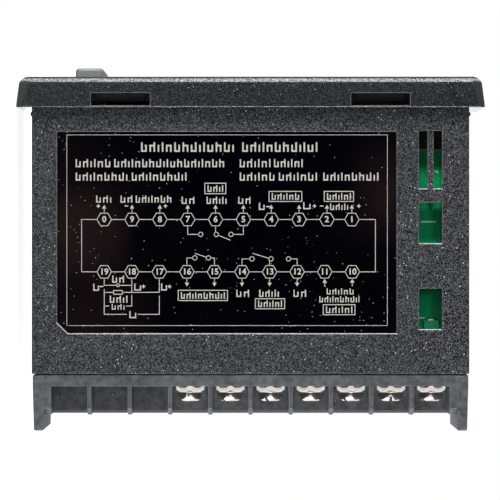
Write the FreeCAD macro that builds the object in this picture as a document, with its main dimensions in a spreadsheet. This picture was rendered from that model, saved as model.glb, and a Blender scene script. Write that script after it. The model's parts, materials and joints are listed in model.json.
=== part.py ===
import FreeCAD, Part
import os
import Sketcher

# Panel-mounted temperature controller, 48 x 96 mm front.
# Upright as mounted: Z up, the front faces -Y, Y = 0 is the plane of the panel it is mounted in.

CELLS = 10  # terminal cells in each column
SCREWS_RIGHT = range(1, 8)  # terminal numbers with a screw on the label side, from the top down
SCREWS_LEFT = range(10, 20)  # terminal numbers with a screw on the far side, from the top down
HEAD_SIDES = 20  # the many screw heads are drawn with flat facets, which keeps them light
SHANK_SIDES = 10  # so are their shanks and the holes for them
KEY_NAMES = ["key_set", "key_shift", "key_down", "key_up"]
LED_COUNT = 6
HEADER_PINS = 6
INPUT_CHIPS = 3
SAME_PLACE = 1e-4  # places closer than this count as one

# Driving dimensions in millimetres
SIZES = {
    # front flange
    "bezel_width": 48, "bezel_height": 96, "bezel_depth": 6.3, "bezel_narrowing": 0.7,
    "corner_rear": 0.8, "corner_front": 2.1, "bezel_chamfer": 1.05,
    "rim_width": 2.6, "seat_floor": 1.2,
    "snap_length": 12, "snap_height": 2.5, "snap_rim": 0.4, "snap_inset": 21.4,
    # case tube
    "lip_side": 1.8, "lip_end": 3.2, "case_depth": 54.6, "case_wall": 2, "case_edge": 0.5, "seam_round": 0.3,
    "clamp_slot_width": 5, "clamp_slot_length": 3, "clamp_slot_start": 16, "clamp_slot_spacing": 14,
    "guide_rise": 1.5, "guide_thick": 1, "guide_start": 6,
    # label in its recess on the right-hand side
    "label_low_margin": 5.2, "label_top_margin": 14.9, "label_start": 5, "label_width": 41.25,
    "label_recess": 0.4, "label_thick": 0.2, "label_chamfer": 2.2, "label_play": 0.08,
    # vents near the top of both sides
    "vent_margin": 5.6, "vent_width": 4.7, "vent_start": 4.8, "slot_width": 1.7, "slot_length": 11.8,
    "hole_length": 8.3, "hole_first": 19.5, "hole_second": 37.1,
    # rear terminal block
    "block_inset": 0.2, "seam": 0.15, "beam_height": 2.35,
    "cells_margin": 3.775, "cell_sink": 1, "cell_lip": 1.4, "rib_thick": 0.85, "rib_rise": 5.9,
    "rib_bevel_run": 3.6, "rib_bevel_drop": 1.3, "spine_width": 4, "spine_rise": 6, "spine_bevel": 0.5,
    "leg_rise": 9.1, "leg_thick": 2.3, "leg_step": 4.5, "leg_proud": 0.15,
    "leg_draft": 0.25, "leg_round": 0.4,
    "tongue_width": 24, "tongue_thick": 1.4, "tongue_length": 6.5, "tongue_play": 0.15,
    "hook_width": 8, "hook_length": 2, "hook_start": 2.6, "hook_play": 0.2,
    # terminal plates and clamp screws
    "screw_inset": 6.8, "plate_metal": 1, "plate_play": 0.2, "plate_from_spine": 1.2,
    "tail_metal": 0.8, "tail_wide": 3, "tail_end": 43.6, "tail_opening": 4.2,
    "head_radius": 2.55, "head_height": 1.9, "head_flat": 1.8, "head_dome_height": 0.9,
    "shank_radius": 1.42, "shank_length": 6.6, "thread_play": 0.05,
    "cross_arm": 1.1, "cross_wide": 0.6, "cross_depth": 0.9,
    "washer_half": 2.87, "washer_rise": 1.25, "washer_metal": 0.75, "washer_play": 0.12,
    # front panel, window and keys
    "face_sink": 0.5, "face_thick": 2.2, "face_play": 0.15, "skirt_thick": 1.2,
    "latch_reach": 1.2, "latch_length": 10,
    "window_side_margin": 1.75, "window_top_margin": 8.25, "window_above_keys": 19, "window_thick": 1.2,
    "window_ledge": 1.2, "window_play": 0.1,
    "key_wide": 7.2, "key_high": 5.8, "key_proud": 1.85, "key_low_margin": 12.25, "key_side_margin": 6.25,
    "key_corner": 0.7, "key_bevel": 0.5, "key_play": 0.3, "key_collar": 0.9, "collar_thick": 0.8,
    "collar_gap": 0.1, "stem_side": 2.4, "stem_length": 0.5, "key_travel": 0.5,
    # circuit boards
    "board_thick": 1.6, "board_depth": 4, "board_start": 8.5, "board_end": 50, "board_slip": 0.1,
    "board_play": 0.3, "front_board_start": 2.4,
    "post_side": 3, "post_side_inset": 5.2, "post_end_inset": 2.4,
    "clip_width": 5, "clip_thick": 1.2, "clip_nose": 1,
    # parts on the front board
    "digit_depth": 5.9, "pv_width": 34, "pv_height": 15, "pv_drop": 12,
    "sv_width": 29, "sv_height": 12, "sv_drop": 29,
    "led_width": 2, "led_height": 4, "led_spacing": 5.4, "led_drop": 44,
    "chip_side": 10, "chip_thick": 1.4, "chip_level": 10,
    "switch_side": 6, "switch_height": 3.5, "plunger_side": 2.4, "plunger_well": 1.2, "plunger_play": 0.1,
    # parts on the side boards
    "header_length": 20, "header_side": 2.5, "header_start": 9.5, "pin_side": 0.64, "pin_spacing": 2.5,
    "relay_rise": 14, "relay_width": 15.5, "relay_length": 19, "relay_start": 30,
    "relay_margin": 7.5, "relay_gap": 3,
    "core_length": 18, "core_rise": 14, "core_thick": 6, "core_yoke": 3, "core_leg": 4.4, "core_side": 2,
    "core_start": 14, "core_centre": -28, "coil_wrap": 2.7, "coil_play": 0.1,
    "big_can_radius": 5, "big_can_length": 18, "big_can_y": 20, "big_can_z": -12,
    "small_can_radius": 3.15, "small_can_length": 11, "small_can_y": 20, "small_can_z": 2,
    "dip_length": 9.5, "dip_width": 6.5, "dip_rise": 3.5,
    "dip_start": 18, "dip_low": -34, "dip_spacing": 14,
}

# Sizes and places that follow from the driving ones, as expressions of the sheet
case_width = "(Sizes.bezel_width - 2 * Sizes.lip_side)"
case_height = "(Sizes.bezel_height - 2 * Sizes.lip_end)"
cavity_width = f"({case_width} - 2 * Sizes.case_wall)"
cavity_height = f"({case_height} - 2 * Sizes.case_wall)"
seat_width = "(Sizes.bezel_width - 2 * Sizes.rim_width)"
seat_height = "(Sizes.bezel_height - 2 * Sizes.rim_width)"
outside_x = "(Sizes.bezel_width / 2 + 1)"
outside_z = "(Sizes.bezel_height / 2 + 1)"
outside_front = "(-Sizes.bezel_depth - 1)"
snap_level = "(Sizes.bezel_height / 2 - Sizes.snap_inset)"
label_low = f"(Sizes.label_low_margin - {case_height} / 2)"
label_high = f"({case_height} / 2 - Sizes.label_top_margin)"
label_end = "(Sizes.label_start + Sizes.label_width)"
recess_floor = f"({case_width} / 2 - Sizes.label_recess)"
vent_high = f"({case_height} / 2 - Sizes.vent_margin)"
vent_low = f"({vent_high} - Sizes.vent_width)"
block_width = f"({case_width} - 2 * Sizes.block_inset)"
block_height = f"({case_height} - 2 * Sizes.block_inset)"
base_front = "(Sizes.case_depth + Sizes.seam)"
base_rear = f"({base_front} + Sizes.beam_height)"
cell_floor = f"({base_rear} - Sizes.cell_sink)"
rib_rear = f"({base_rear} + Sizes.rib_rise)"
bevel_start = f"({rib_rear} - Sizes.rib_bevel_drop)"
spine_rear = f"({base_rear} + Sizes.spine_rise)"
leg_rear = f"({base_rear} + Sizes.leg_rise)"
cells_high = f"({block_height} / 2 - Sizes.cells_margin)"
cell_pitch = f"((2 * {cells_high} + Sizes.rib_thick) / {CELLS})"
plate_wide = f"({cell_pitch} - Sizes.rib_thick - 2 * Sizes.plate_play)"
leg_inner = f"({block_height} / 2 - Sizes.leg_thick)"
tongue_high = f"({cavity_height} / 2 - Sizes.tongue_play)"
hook_rear = f"({base_front} - Sizes.hook_start)"
hook_front = f"({hook_rear} - Sizes.hook_length)"
screw_x = f"({block_width} / 2 - Sizes.screw_inset)"
board_outer = f"({case_width} / 2 - Sizes.board_depth)"
board_inner = f"({board_outer} - Sizes.board_thick)"
board_high = f"({cavity_height} / 2 - Sizes.board_play)"
plate_inward = f"({screw_x} - Sizes.spine_width / 2 - Sizes.plate_from_spine)"
tail_near = f"({board_outer} - {screw_x})"
tail_far = f"({tail_near} + Sizes.tail_metal)"
plate_rear = f"({cell_floor} + Sizes.plate_metal)"
face_front = "(Sizes.face_sink - Sizes.bezel_depth)"
face_rear = f"({face_front} + Sizes.face_thick)"
face_width = f"({seat_width} - 2 * Sizes.face_play)"
face_height = f"({seat_height} - 2 * Sizes.face_play)"
key_level = f"(Sizes.key_low_margin - {face_height} / 2)"
key_pitch = f"(({face_width} - 2 * Sizes.key_side_margin) / {len(KEY_NAMES) - 1})"
window_width = f"({face_width} - 2 * Sizes.window_side_margin)"
window_high = f"({face_height} / 2 - Sizes.window_top_margin)"
window_low = f"({key_level} + Sizes.window_above_keys)"
window_rear = f"({face_front} + Sizes.window_thick)"
front_board_rear = "(Sizes.front_board_start + Sizes.board_thick)"
clip_high = f"({board_high} - Sizes.board_play)"
collar_front = f"({face_rear} + Sizes.collar_gap)"
collar_rear = f"({collar_front} + Sizes.collar_thick)"
plunger_front = f"({collar_rear} + Sizes.stem_length)"
switch_front = "(Sizes.front_board_start - Sizes.switch_height)"
well_floor = f"({switch_front} + Sizes.plunger_well)"
relay_alarm_low = f"({board_high} - Sizes.relay_margin - Sizes.relay_length)"
relay_output_low = f"({relay_alarm_low} - Sizes.relay_gap - Sizes.relay_length)"
core_end = "(Sizes.core_start + Sizes.core_length)"

# The sheet and small helpers
doc = FreeCAD.newDocument("TemperatureController")
sheet = doc.addObject("Spreadsheet::Sheet", "Sizes")
for row, (name, size) in enumerate(SIZES.items(), 1):
    sheet.set(f"A{row}", name)
    sheet.set(f"B{row}", str(size))
    sheet.setAlias(f"B{row}", name)
doc.recompute()

NORMAL_SIGN = {"XY": 1, "XZ": -1, "YZ": 1}  # which way a plane's sketches face along the third axis
SIDEWAYS = FreeCAD.Rotation(FreeCAD.Vector(0, 1, 0), 90)
TURNED_ROUND = FreeCAD.Rotation(FreeCAD.Vector(0, 1, 0), 180)


def value(expression):
    return float(sheet.evalExpression(str(expression)))


def minus(expression):
    return f"-({expression})"


def half(expression):
    return f"({expression}) / 2"


def both_sides(expression):
    return [expression, minus(expression)]


def span(left, right, low, high):
    """Corner points of a rectangle given by its four sides."""
    return [(left, low), (right, low), (right, high), (left, high)]


def rect(width, height, across="0", up="0"):
    """Corner points of a rectangle centred on (across, up)."""
    return span(f"({across}) - ({width}) / 2", f"({across}) + ({width}) / 2",
                f"({up}) - ({height}) / 2", f"({up}) + ({height}) / 2")


def cut_corners(width, height, corner):
    """Corner points of a centred rectangle whose corners are cut off."""
    side, top = f"({width}) / 2", f"({height}) / 2"
    near_side, near_top = f"{side} - {corner}", f"{top} - {corner}"
    right = [(side, minus(near_top)), (side, near_top), (near_side, top)]
    left = [(minus(x), z) for x, z in reversed(right)]
    return [*right, *left, (minus(near_side), minus(top)), (near_side, minus(top))]


def ring(radius, sides):
    """Corner points of a regular polygon around the origin."""
    turns = [(index + 0.5) * 360 / sides for index in range(sides)]
    return [(f"({radius}) * cos({turn} deg)", f"({radius}) * sin({turn} deg)") for turn in turns]


def new_body(label):
    return doc.addObject("PartDesign::Body", label)


def origin_plane(body, plane):
    return next(feature for feature in body.Origin.OriginFeatures if feature.Role == plane + "_Plane")


def pin(sketch, item, point, across, up):
    """Hold a point of a sketch at a place measured from the sketch's origin."""
    for kind, place, axis in (("DistanceX", across, -2), ("DistanceY", up, -1)):
        distance = value(place)
        if abs(distance) < SAME_PLACE:
            sketch.addConstraint(Sketcher.Constraint("PointOnObject", item, point, axis))
            continue
        index = sketch.addConstraint(Sketcher.Constraint(kind, -1, 1, item, point, distance))
        sketch.setExpression(f"Constraints[{index}]", place)


def draw_outline(sketch, points):
    first = sketch.GeometryCount
    spots = [FreeCAD.Vector(value(x), value(y), 0) for x, y in points]
    for here, there in zip(spots, spots[1:] + spots[:1]):
        sketch.addGeometry(Part.LineSegment(here, there))
    for index, (across, up) in enumerate(points):
        before = first + (index - 1) % len(points)
        sketch.addConstraint(Sketcher.Constraint("Coincident", before, 2, first + index, 1))
        pin(sketch, first + index, 1, across, up)


def sketch_at(body, name, plane, level, outlines):
    """Sketch on a plane of the body's origin, moved to a level along the third axis."""
    sketch = body.newObject("Sketcher::SketchObject", name + "Sketch")
    sketch.AttachmentSupport = (origin_plane(body, plane), [""])
    sketch.MapMode = "FlatFace"
    sketch.setExpression("AttachmentOffset.Base.z", level if NORMAL_SIGN[plane] > 0 else minus(level))
    for points in outlines:
        draw_outline(sketch, points)
    sketch.Visibility = False
    return sketch


def extrude(kind, body, name, plane, start, end, outlines):
    """Outlines drawn at `start` and pushed on to `end` along the third axis."""
    feature = body.newObject(kind, name)
    feature.Profile = sketch_at(body, name, plane, start, outlines)
    feature.setExpression("Length", f"abs(({end}) - ({start}))")
    forward = (value(end) > value(start)) == (NORMAL_SIGN[plane] > 0)
    feature.Reversed = forward if kind == "PartDesign::Pocket" else not forward
    return feature


def pad(body, name, plane, start, end, outlines):
    feature = extrude("PartDesign::Pad", body, name, plane, start, end, outlines)
    doc.recompute()
    return feature


def cut(body, name, plane, start, end, outlines):
    feature = extrude("PartDesign::Pocket", body, name, plane, start, end, outlines)
    doc.recompute()
    return feature


def repeat(body, name, feature, axis, spacing, count):
    """Row of copies of a feature along an axis of its sketch."""
    pattern = body.newObject("PartDesign::LinearPattern", name)
    pattern.Originals = [feature]
    pattern.Direction = (feature.Profile[0], [axis])
    pattern.Mode = "Spacing"
    pattern.setExpression("Offset", spacing)
    pattern.Occurrences = count
    body.Tip = pattern
    doc.recompute()


def treat_edges(kind, body, name, size, chosen):
    """Round or bevel the edges of the body's shape for which `chosen` is true."""
    base = body.Tip
    feature = body.newObject(kind, name)
    feature.Base = (base, [f"Edge{i}" for i, edge in enumerate(base.Shape.Edges, 1) if chosen(edge)])
    feature.setExpression("Radius" if kind == "PartDesign::Fillet" else "Size", size)
    doc.recompute()
    return feature


def lies_at(edge, axis, place):
    """True for an edge that lies wholly at a place along the axis."""
    low, high = getattr(edge.BoundBox, axis + "Min"), getattr(edge.BoundBox, axis + "Max")
    return max(abs(low - value(place)), abs(high - value(place))) < SAME_PLACE


def joins(edge, axis, start, end):
    """True for an edge that runs between two places along the axis."""
    low, high = getattr(edge.BoundBox, axis + "Min"), getattr(edge.BoundBox, axis + "Max")
    return max(abs(low - value(start)), abs(high - value(end))) < SAME_PLACE


def place(item, across="0", depth="0", up="0", turn=None):
    if turn:
        item.Placement = FreeCAD.Placement(FreeCAD.Vector(), turn)
    item.setExpression("Placement.Base.x", across)
    item.setExpression("Placement.Base.y", depth)
    item.setExpression("Placement.Base.z", up)


def block(label, x_range, y_range, z_range):
    """Plain box between two places along each axis."""
    item = doc.addObject("Part::Box", label)
    for side, (low, high) in zip(("Length", "Width", "Height"), (x_range, y_range, z_range)):
        item.setExpression(side, f"({high}) - ({low})")
    place(item, x_range[0], y_range[0], z_range[0])
    return item


def around(middle, size):
    """Range of a size around a middle."""
    return (f"({middle}) - ({size}) / 2", f"({middle}) + ({size}) / 2")


def copy_of(master, label, across="0", depth="0", up="0", turn=None):
    link = doc.addObject("App::Link", label)
    link.LinkedObject = master
    place(link, across, depth, up, turn)
    return link


def group(label, items):
    """Several separate solids kept under one name."""
    compound = doc.addObject("Part::Compound", label)
    compound.Links = items
    return compound


# Housing: case tube and front flange in one moulding
def label_outline(play):
    """The label's shape, smaller by `play` all round, with the corner at its low rear end cut off."""
    start, end = f"Sizes.label_start + {play}", f"{label_end} - {play}"
    low, high = f"{label_low} + {play}", f"{label_high} - {play}"
    return [(start, low), (f"{end} - Sizes.label_chamfer", low), (end, f"{low} + Sizes.label_chamfer"),
            (end, high), (start, high)]


def vent_outlines():
    slot_end = "Sizes.vent_start + Sizes.slot_length"
    vents = [span("Sizes.vent_start", slot_end, vent_low, f"{vent_low} + Sizes.slot_width"),
             span("Sizes.vent_start", slot_end, f"{vent_high} - Sizes.slot_width", vent_high)]
    for first in ("Sizes.hole_first", "Sizes.hole_second"):
        vents.append(span(first, f"{first} + Sizes.hole_length", vent_low, vent_high))
    return vents


def guide_outlines():
    """Pairs of ribs on the top and bottom walls that hold the edges of the two side boards."""
    outer_rib = f"{board_outer} + Sizes.board_slip + Sizes.guide_thick / 2"
    inner_rib = f"{board_inner} - Sizes.board_slip - Sizes.guide_thick / 2"
    tall = "Sizes.guide_rise + Sizes.case_wall / 2"
    level = f"{cavity_height} / 2 + Sizes.case_wall / 2 - ({tall}) / 2"
    return [rect("Sizes.guide_thick", tall, across, up)
            for rib in (outer_rib, inner_rib) for across in both_sides(rib) for up in both_sides(level)]


def make_flange(body):
    """The flange narrows to the front, and the cuts off its corners grow wider there."""
    bezel_front = "(-Sizes.bezel_depth)"
    wide_rear, high_rear = "Sizes.bezel_width", "Sizes.bezel_height"
    wide_front, high_front = (f"{size} - 2 * Sizes.bezel_narrowing" for size in (wide_rear, high_rear))
    rear = sketch_at(body, "FlangeRear", "XZ", "0", [cut_corners(wide_rear, high_rear, "Sizes.corner_rear")])
    front = sketch_at(body, "FlangeFront", "XZ", bezel_front,
                      [cut_corners(wide_front, high_front, "Sizes.corner_front")])
    flange = body.newObject("PartDesign::AdditiveLoft", "Flange")
    flange.Profile = rear
    flange.Sections = [front]
    flange.Ruled = True
    doc.recompute()
    treat_edges("PartDesign::Chamfer", body, "FlangeChamfer", "Sizes.bezel_chamfer",
                lambda edge: lies_at(edge, "Y", bezel_front))


def make_housing():
    body = new_body("housing")
    make_flange(body)
    pad(body, "Tube", "XZ", "0", "Sizes.case_depth", [rect(case_width, case_height)])
    treat_edges("PartDesign::Fillet", body, "TubeEdges", "Sizes.case_edge",
                lambda edge: joins(edge, "Y", "0", "Sizes.case_depth"))
    treat_edges("PartDesign::Fillet", body, "RearRim", "Sizes.seam_round",
                lambda edge: lies_at(edge, "Y", "Sizes.case_depth"))
    cut(body, "Cavity", "XZ", outside_front, "Sizes.case_depth + 1", [rect(cavity_width, cavity_height)])
    cut(body, "PanelSeat", "XZ", outside_front, "-Sizes.seat_floor", [rect(seat_width, seat_height)])
    pad(body, "BoardGuides", "XZ", "Sizes.guide_start", "Sizes.board_end", guide_outlines())
    cut(body, "LabelRecess", "YZ", outside_x, recess_floor, [label_outline("0")])
    cut(body, "Vents", "YZ", outside_x, minus(outside_x), vent_outlines())
    snap_middle = "-Sizes.snap_rim - Sizes.snap_height / 2"
    cut(body, "SnapWindows", "YZ", outside_x, minus(outside_x),
        [rect("Sizes.snap_height", "Sizes.snap_length", snap_middle, level)
         for level in both_sides(snap_level)])
    clamp_middle = "Sizes.clamp_slot_start + Sizes.clamp_slot_length / 2"
    slots = [rect("Sizes.clamp_slot_width", "Sizes.clamp_slot_length", across, clamp_middle)
             for across in both_sides("Sizes.clamp_slot_spacing / 2")]
    hook_side = "Sizes.hook_width / 2 + Sizes.hook_play"
    slots.append(span(minus(hook_side), hook_side,
                      f"{hook_front} - Sizes.hook_play", f"{hook_rear} + Sizes.hook_play"))
    cut(body, "ClampAndHookSlots", "XY", outside_z, minus(outside_z), slots)
    return body


def make_label():
    """Thin sheet in the recess of the right-hand side."""
    body = new_body("rating_label")
    pad(body, "Sheet", "YZ", recess_floor, f"{recess_floor} + Sizes.label_thick",
        [label_outline("Sizes.label_play")])
    return body


# Rear terminal block
def make_block_end(body, name, side, rib):
    """What stands at one end of the block: end rib, web, tapering leg, and the tongue into the case."""
    wide = half(block_width)
    inner, outer, end = (f"{side} * {level}" for level in (cells_high, leg_inner, half(block_height)))
    rib_outer = f"{inner} + {side} * Sizes.rib_thick"
    pad(body, name + "EndRib", "XY", inner, rib_outer, [rib])
    step_x = f"{wide} - Sizes.leg_step"
    web_right = [(wide, base_rear), (wide, bevel_start), (step_x, bevel_start), (step_x, rib_rear)]
    web_left = [(minus(x), y) for x, y in reversed(web_right)]
    pad(body, name + "Web", "XY", rib_outer, outer, [web_right + web_left])
    leg_x = f"({wide} + Sizes.leg_proud)"
    pad(body, name + "Leg", "XY", outer, end,
        [span(minus(leg_x), leg_x, f"{base_front} + Sizes.seam_round", leg_rear)])
    beyond = f"({leg_rear} + 1)"
    lean = f"{side} * Sizes.leg_draft * ({beyond} - {base_rear}) / Sizes.leg_rise"
    cut(body, name + "LegDraft", "YZ", outside_x, minus(outside_x),
        [[(base_rear, end), (beyond, end), (beyond, f"{end} - {lean}")]])
    treat_edges("PartDesign::Fillet", body, name + "LegRound", "Sizes.leg_round",
                lambda edge: lies_at(edge, "Y", leg_rear) and edge.CenterOfMass.z * value(side) > 0)
    tongue_outer = f"{side} * {tongue_high}"
    tongue_half = "Sizes.tongue_width / 2"
    pad(body, name + "Tongue", "XY", f"{tongue_outer} - {side} * Sizes.tongue_thick", tongue_outer,
        [span(minus(tongue_half), tongue_half, f"{base_front} - Sizes.tongue_length", base_front)])
    hook = [(hook_rear, tongue_outer), (hook_rear, f"{tongue_outer} + {side} * Sizes.case_wall / 2"),
            (hook_front, tongue_outer)]
    pad(body, name + "Hook", "YZ", "-Sizes.hook_width / 2", "Sizes.hook_width / 2", [hook])


def make_terminal_block():
    body = new_body("terminal_block")
    wide = half(block_width)
    pad(body, "Base", "XZ", base_front, base_rear, [rect(block_width, block_height)])
    treat_edges("PartDesign::Fillet", body, "FrontRim", "Sizes.seam_round",
                lambda edge: lies_at(edge, "Y", base_front))
    pad(body, "Spine", "XZ", base_rear, spine_rear, [rect("Sizes.spine_width", f"2 * {leg_inner}")])
    treat_edges("PartDesign::Chamfer", body, "SpineBevel", "Sizes.spine_bevel",
                lambda edge: lies_at(edge, "Y", spine_rear) and edge.Length > value(leg_inner))
    bevel_x = f"{wide} - Sizes.rib_bevel_run"
    rib = [(minus(wide), base_rear), (wide, base_rear), (wide, bevel_start), (bevel_x, rib_rear),
           (minus(bevel_x), rib_rear), (minus(wide), bevel_start)]
    first_rib = f"-{CELLS / 2 - 1} * {cell_pitch} - Sizes.rib_thick / 2"
    rib_pad = pad(body, "Rib", "XY", first_rib, f"{first_rib} + Sizes.rib_thick", [rib])
    repeat(body, "Ribs", rib_pad, "N_Axis", cell_pitch, CELLS - 1)
    make_block_end(body, "Top", "1", rib)
    make_block_end(body, "Bottom", "-1", rib)
    first_cell = f"-{(CELLS - 1) / 2} * {cell_pitch}"
    inner, outer = "Sizes.spine_width / 2", f"({wide} - Sizes.cell_lip)"
    floors = [rect(f"{outer} - {inner}", f"{cell_pitch} - Sizes.rib_thick", across, first_cell)
              for across in both_sides(f"({inner} + {outer}) / 2")]
    near = f"({screw_x} - 2 * Sizes.shank_radius)"
    far = f"({screw_x} + {tail_far} + Sizes.hook_play)"
    openings = [rect(f"{far} - {near}", "Sizes.tail_opening", across, first_cell)
                for across in both_sides(f"({near} + {far}) / 2")]
    floor_cut = cut(body, "CellFloor", "XZ", base_rear, cell_floor, floors)
    repeat(body, "CellFloors", floor_cut, "V_Axis", cell_pitch, CELLS)
    opening_cut = cut(body, "TailOpening", "XZ", base_rear, f"{base_front} - 1", openings)
    repeat(body, "TailOpenings", opening_cut, "V_Axis", cell_pitch, CELLS)
    return body


# Terminal plates and clamp screws, drawn with the screw's axis on Y and the plate's rear face at Y = 0
def make_contact_plate():
    body = new_body("contact_plate")
    plate_side, tail_side = half(plate_wide), "Sizes.tail_wide / 2"
    pad(body, "Plate", "XZ", "-Sizes.plate_metal", "0",
        [span(minus(plate_inward), tail_far, minus(plate_side), plate_side)])
    pad(body, "Tail", "XZ", "-Sizes.plate_metal", f"Sizes.tail_end - {plate_rear}",
        [span(tail_near, tail_far, minus(tail_side), tail_side)])
    cut(body, "ThreadHole", "XZ", "1", "-Sizes.plate_metal - 1",
        [ring("Sizes.shank_radius + Sizes.thread_play", SHANK_SIDES)])
    return body


def make_screw():
    """Pan head with a cross recess, its underside resting on the washer."""
    body = new_body("clamp_screw")
    seat = "Sizes.washer_rise"
    top = f"({seat} + Sizes.head_height)"
    pad(body, "Shank", "XZ", f"{seat} - Sizes.shank_length", seat,
        [ring("Sizes.shank_radius", SHANK_SIDES)])
    pad(body, "Head", "XZ", seat, top, [ring("Sizes.head_radius", HEAD_SIDES)])
    dome = treat_edges("PartDesign::Chamfer", body, "HeadDome", "Sizes.head_radius - Sizes.head_flat",
                       lambda edge: lies_at(edge, "Y", top))
    dome.ChamferType = "Two distances"
    dome.setExpression("Size2", "Sizes.head_dome_height")
    doc.recompute()
    arm, wide = "Sizes.cross_arm", "Sizes.cross_wide / 2"
    quarter = [(wide, wide), (wide, arm)]
    quarters = [quarter, [(minus(x), y) for x, y in reversed(quarter)]]
    low_half = [(x, minus(y)) for x, y in reversed(quarters[0] + quarters[1])]
    side_right = [(arm, minus(wide)), (arm, wide)]
    side_left = [(minus(arm), wide), (minus(arm), minus(wide))]
    cross = side_right + quarters[0] + quarters[1] + side_left + low_half
    cut(body, "CrossRecess", "XZ", top, f"{top} - Sizes.cross_depth", [cross])
    return body


def make_washer():
    """Square clamp washer with two waves that press the wires down."""
    body = new_body("clamp_washer")
    # half of the wave, as parts of the washer's half width and of its rise
    wave = ((0.2, 0.8), (0.43, 1), (0.62, 1), (0.82, 0.9), (1, 0.63))
    right = [(f"{rise} * Sizes.washer_rise", f"{across} * Sizes.washer_half") for across, rise in wave]
    left = [(rise, minus(across)) for rise, across in reversed(right)]
    upper = left + right
    lower = [(f"{rise} - Sizes.washer_metal", across) for rise, across in reversed(upper)]
    pad(body, "Wave", "YZ", "-Sizes.washer_half", "Sizes.washer_half", [upper + lower])
    cut(body, "Hole", "XZ", "Sizes.washer_rise + 1", "-1",
        [ring("Sizes.shank_radius + Sizes.washer_play", SHANK_SIDES)])
    return body


def make_terminals():
    plate = make_contact_plate()
    clamp = group("clamp_screw_and_washer", [make_screw(), make_washer()])
    made = []
    columns = (("right", SCREWS_RIGHT, screw_x, None), ("left", SCREWS_LEFT, minus(screw_x), TURNED_ROUND))
    for side, numbers, across, turn in columns:
        plates = []
        for index, number in enumerate(numbers):
            level = f"{(CELLS - 1) / 2 - index} * {cell_pitch}"
            plates.append(copy_of(plate, f"contact_plate_{number}", across, plate_rear, level, turn))
            made.append(copy_of(clamp, f"terminal_screw_{number}", across, plate_rear, level))
        made.append(group(f"contact_plates_{side}", plates))
    return made


# Front panel with its window and keys
def key_places():
    middle = (len(KEY_NAMES) - 1) / 2
    return [f"{index - middle} * {key_pitch}" for index in range(len(KEY_NAMES))]


def window_outline(inset):
    """The window's shape, smaller by `inset` all round."""
    side = f"{window_width} / 2 - {inset}"
    return span(minus(side), side, f"{window_low} + {inset}", f"{window_high} - {inset}")


def make_front_panel():
    body = new_body("front_panel")
    pad(body, "Face", "XZ", face_front, face_rear, [rect(face_width, face_height)])
    inside = rect(f"{face_width} - 2 * Sizes.skirt_thick", f"{face_height} - 2 * Sizes.skirt_thick")
    pad(body, "Skirt", "XZ", face_rear, "-Sizes.seat_floor", [rect(face_width, face_height), inside])
    cut(body, "WindowSeat", "XZ", face_front, window_rear, [window_outline("0")])
    cut(body, "WindowOpening", "XZ", face_front, f"{face_rear} + 1", [window_outline("Sizes.window_ledge")])
    hole_wide = "Sizes.key_wide + 2 * Sizes.key_play"
    hole_high = "Sizes.key_high + 2 * Sizes.key_play"
    cut(body, "KeyHoles", "XZ", face_front, f"{face_rear} + 1",
        [rect(hole_wide, hole_high, across, key_level) for across in key_places()])
    post_x = f"{cavity_width} / 2 - Sizes.post_side_inset"
    post_z = f"{cavity_height} / 2 - Sizes.post_end_inset"
    pad(body, "Posts", "XZ", face_rear, "Sizes.front_board_start",
        [rect("Sizes.post_side", "Sizes.post_side", across, up)
         for across in both_sides(post_x) for up in both_sides(post_z)])
    for name, side in (("Upper", "1"), ("Lower", "-1")):
        outer, inner = f"{side} * {clip_high}", f"{side} * ({clip_high} - Sizes.clip_thick)"
        nose = f"{inner} - {side} * Sizes.clip_nose"
        clip_end = f"{front_board_rear} + Sizes.clip_nose"
        profile = [(face_rear, outer), (clip_end, outer), (clip_end, inner), (front_board_rear, nose),
                   (front_board_rear, inner), (face_rear, inner)]
        pad(body, name + "Clip", "YZ", "-Sizes.clip_width / 2", "Sizes.clip_width / 2", [profile])
    nose_front = "-Sizes.snap_rim - Sizes.snap_height + Sizes.hook_play"
    for name, side in (("Right", "1"), ("Left", "-1")):
        skirt_x = f"{side} * {face_width} / 2"
        latch = [(skirt_x, nose_front), (f"{skirt_x} + {side} * Sizes.latch_reach", nose_front),
                 (skirt_x, "-Sizes.seat_floor")]
        for end, middle in zip(("Top", "Bottom"), both_sides(snap_level)):
            pad(body, name + end + "Latch", "XY", *around(middle, "Sizes.latch_length"), [latch])
    return body


def make_window():
    body = new_body("display_window")
    pad(body, "Lens", "XZ", face_front, window_rear, [window_outline("Sizes.window_play")])
    return body


def make_key_cap():
    """Key cap with a collar behind the panel and a stem that meets the switch."""
    body = new_body("key_cap")
    key_front = "-Sizes.bezel_depth - Sizes.key_proud"
    pad(body, "Cap", "XZ", key_front, collar_front, [rect("Sizes.key_wide", "Sizes.key_high")])
    treat_edges("PartDesign::Chamfer", body, "CapCorners", "Sizes.key_corner",
                lambda edge: joins(edge, "Y", key_front, collar_front))
    treat_edges("PartDesign::Chamfer", body, "CapBevel", "Sizes.key_bevel",
                lambda edge: lies_at(edge, "Y", key_front))
    pad(body, "Collar", "XZ", collar_front, collar_rear,
        [rect("Sizes.key_wide + 2 * Sizes.key_collar", "Sizes.key_high + 2 * Sizes.key_collar")])
    pad(body, "Stem", "XZ", collar_rear, plunger_front, [rect("Sizes.stem_side", "Sizes.stem_side")])
    return body


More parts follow.
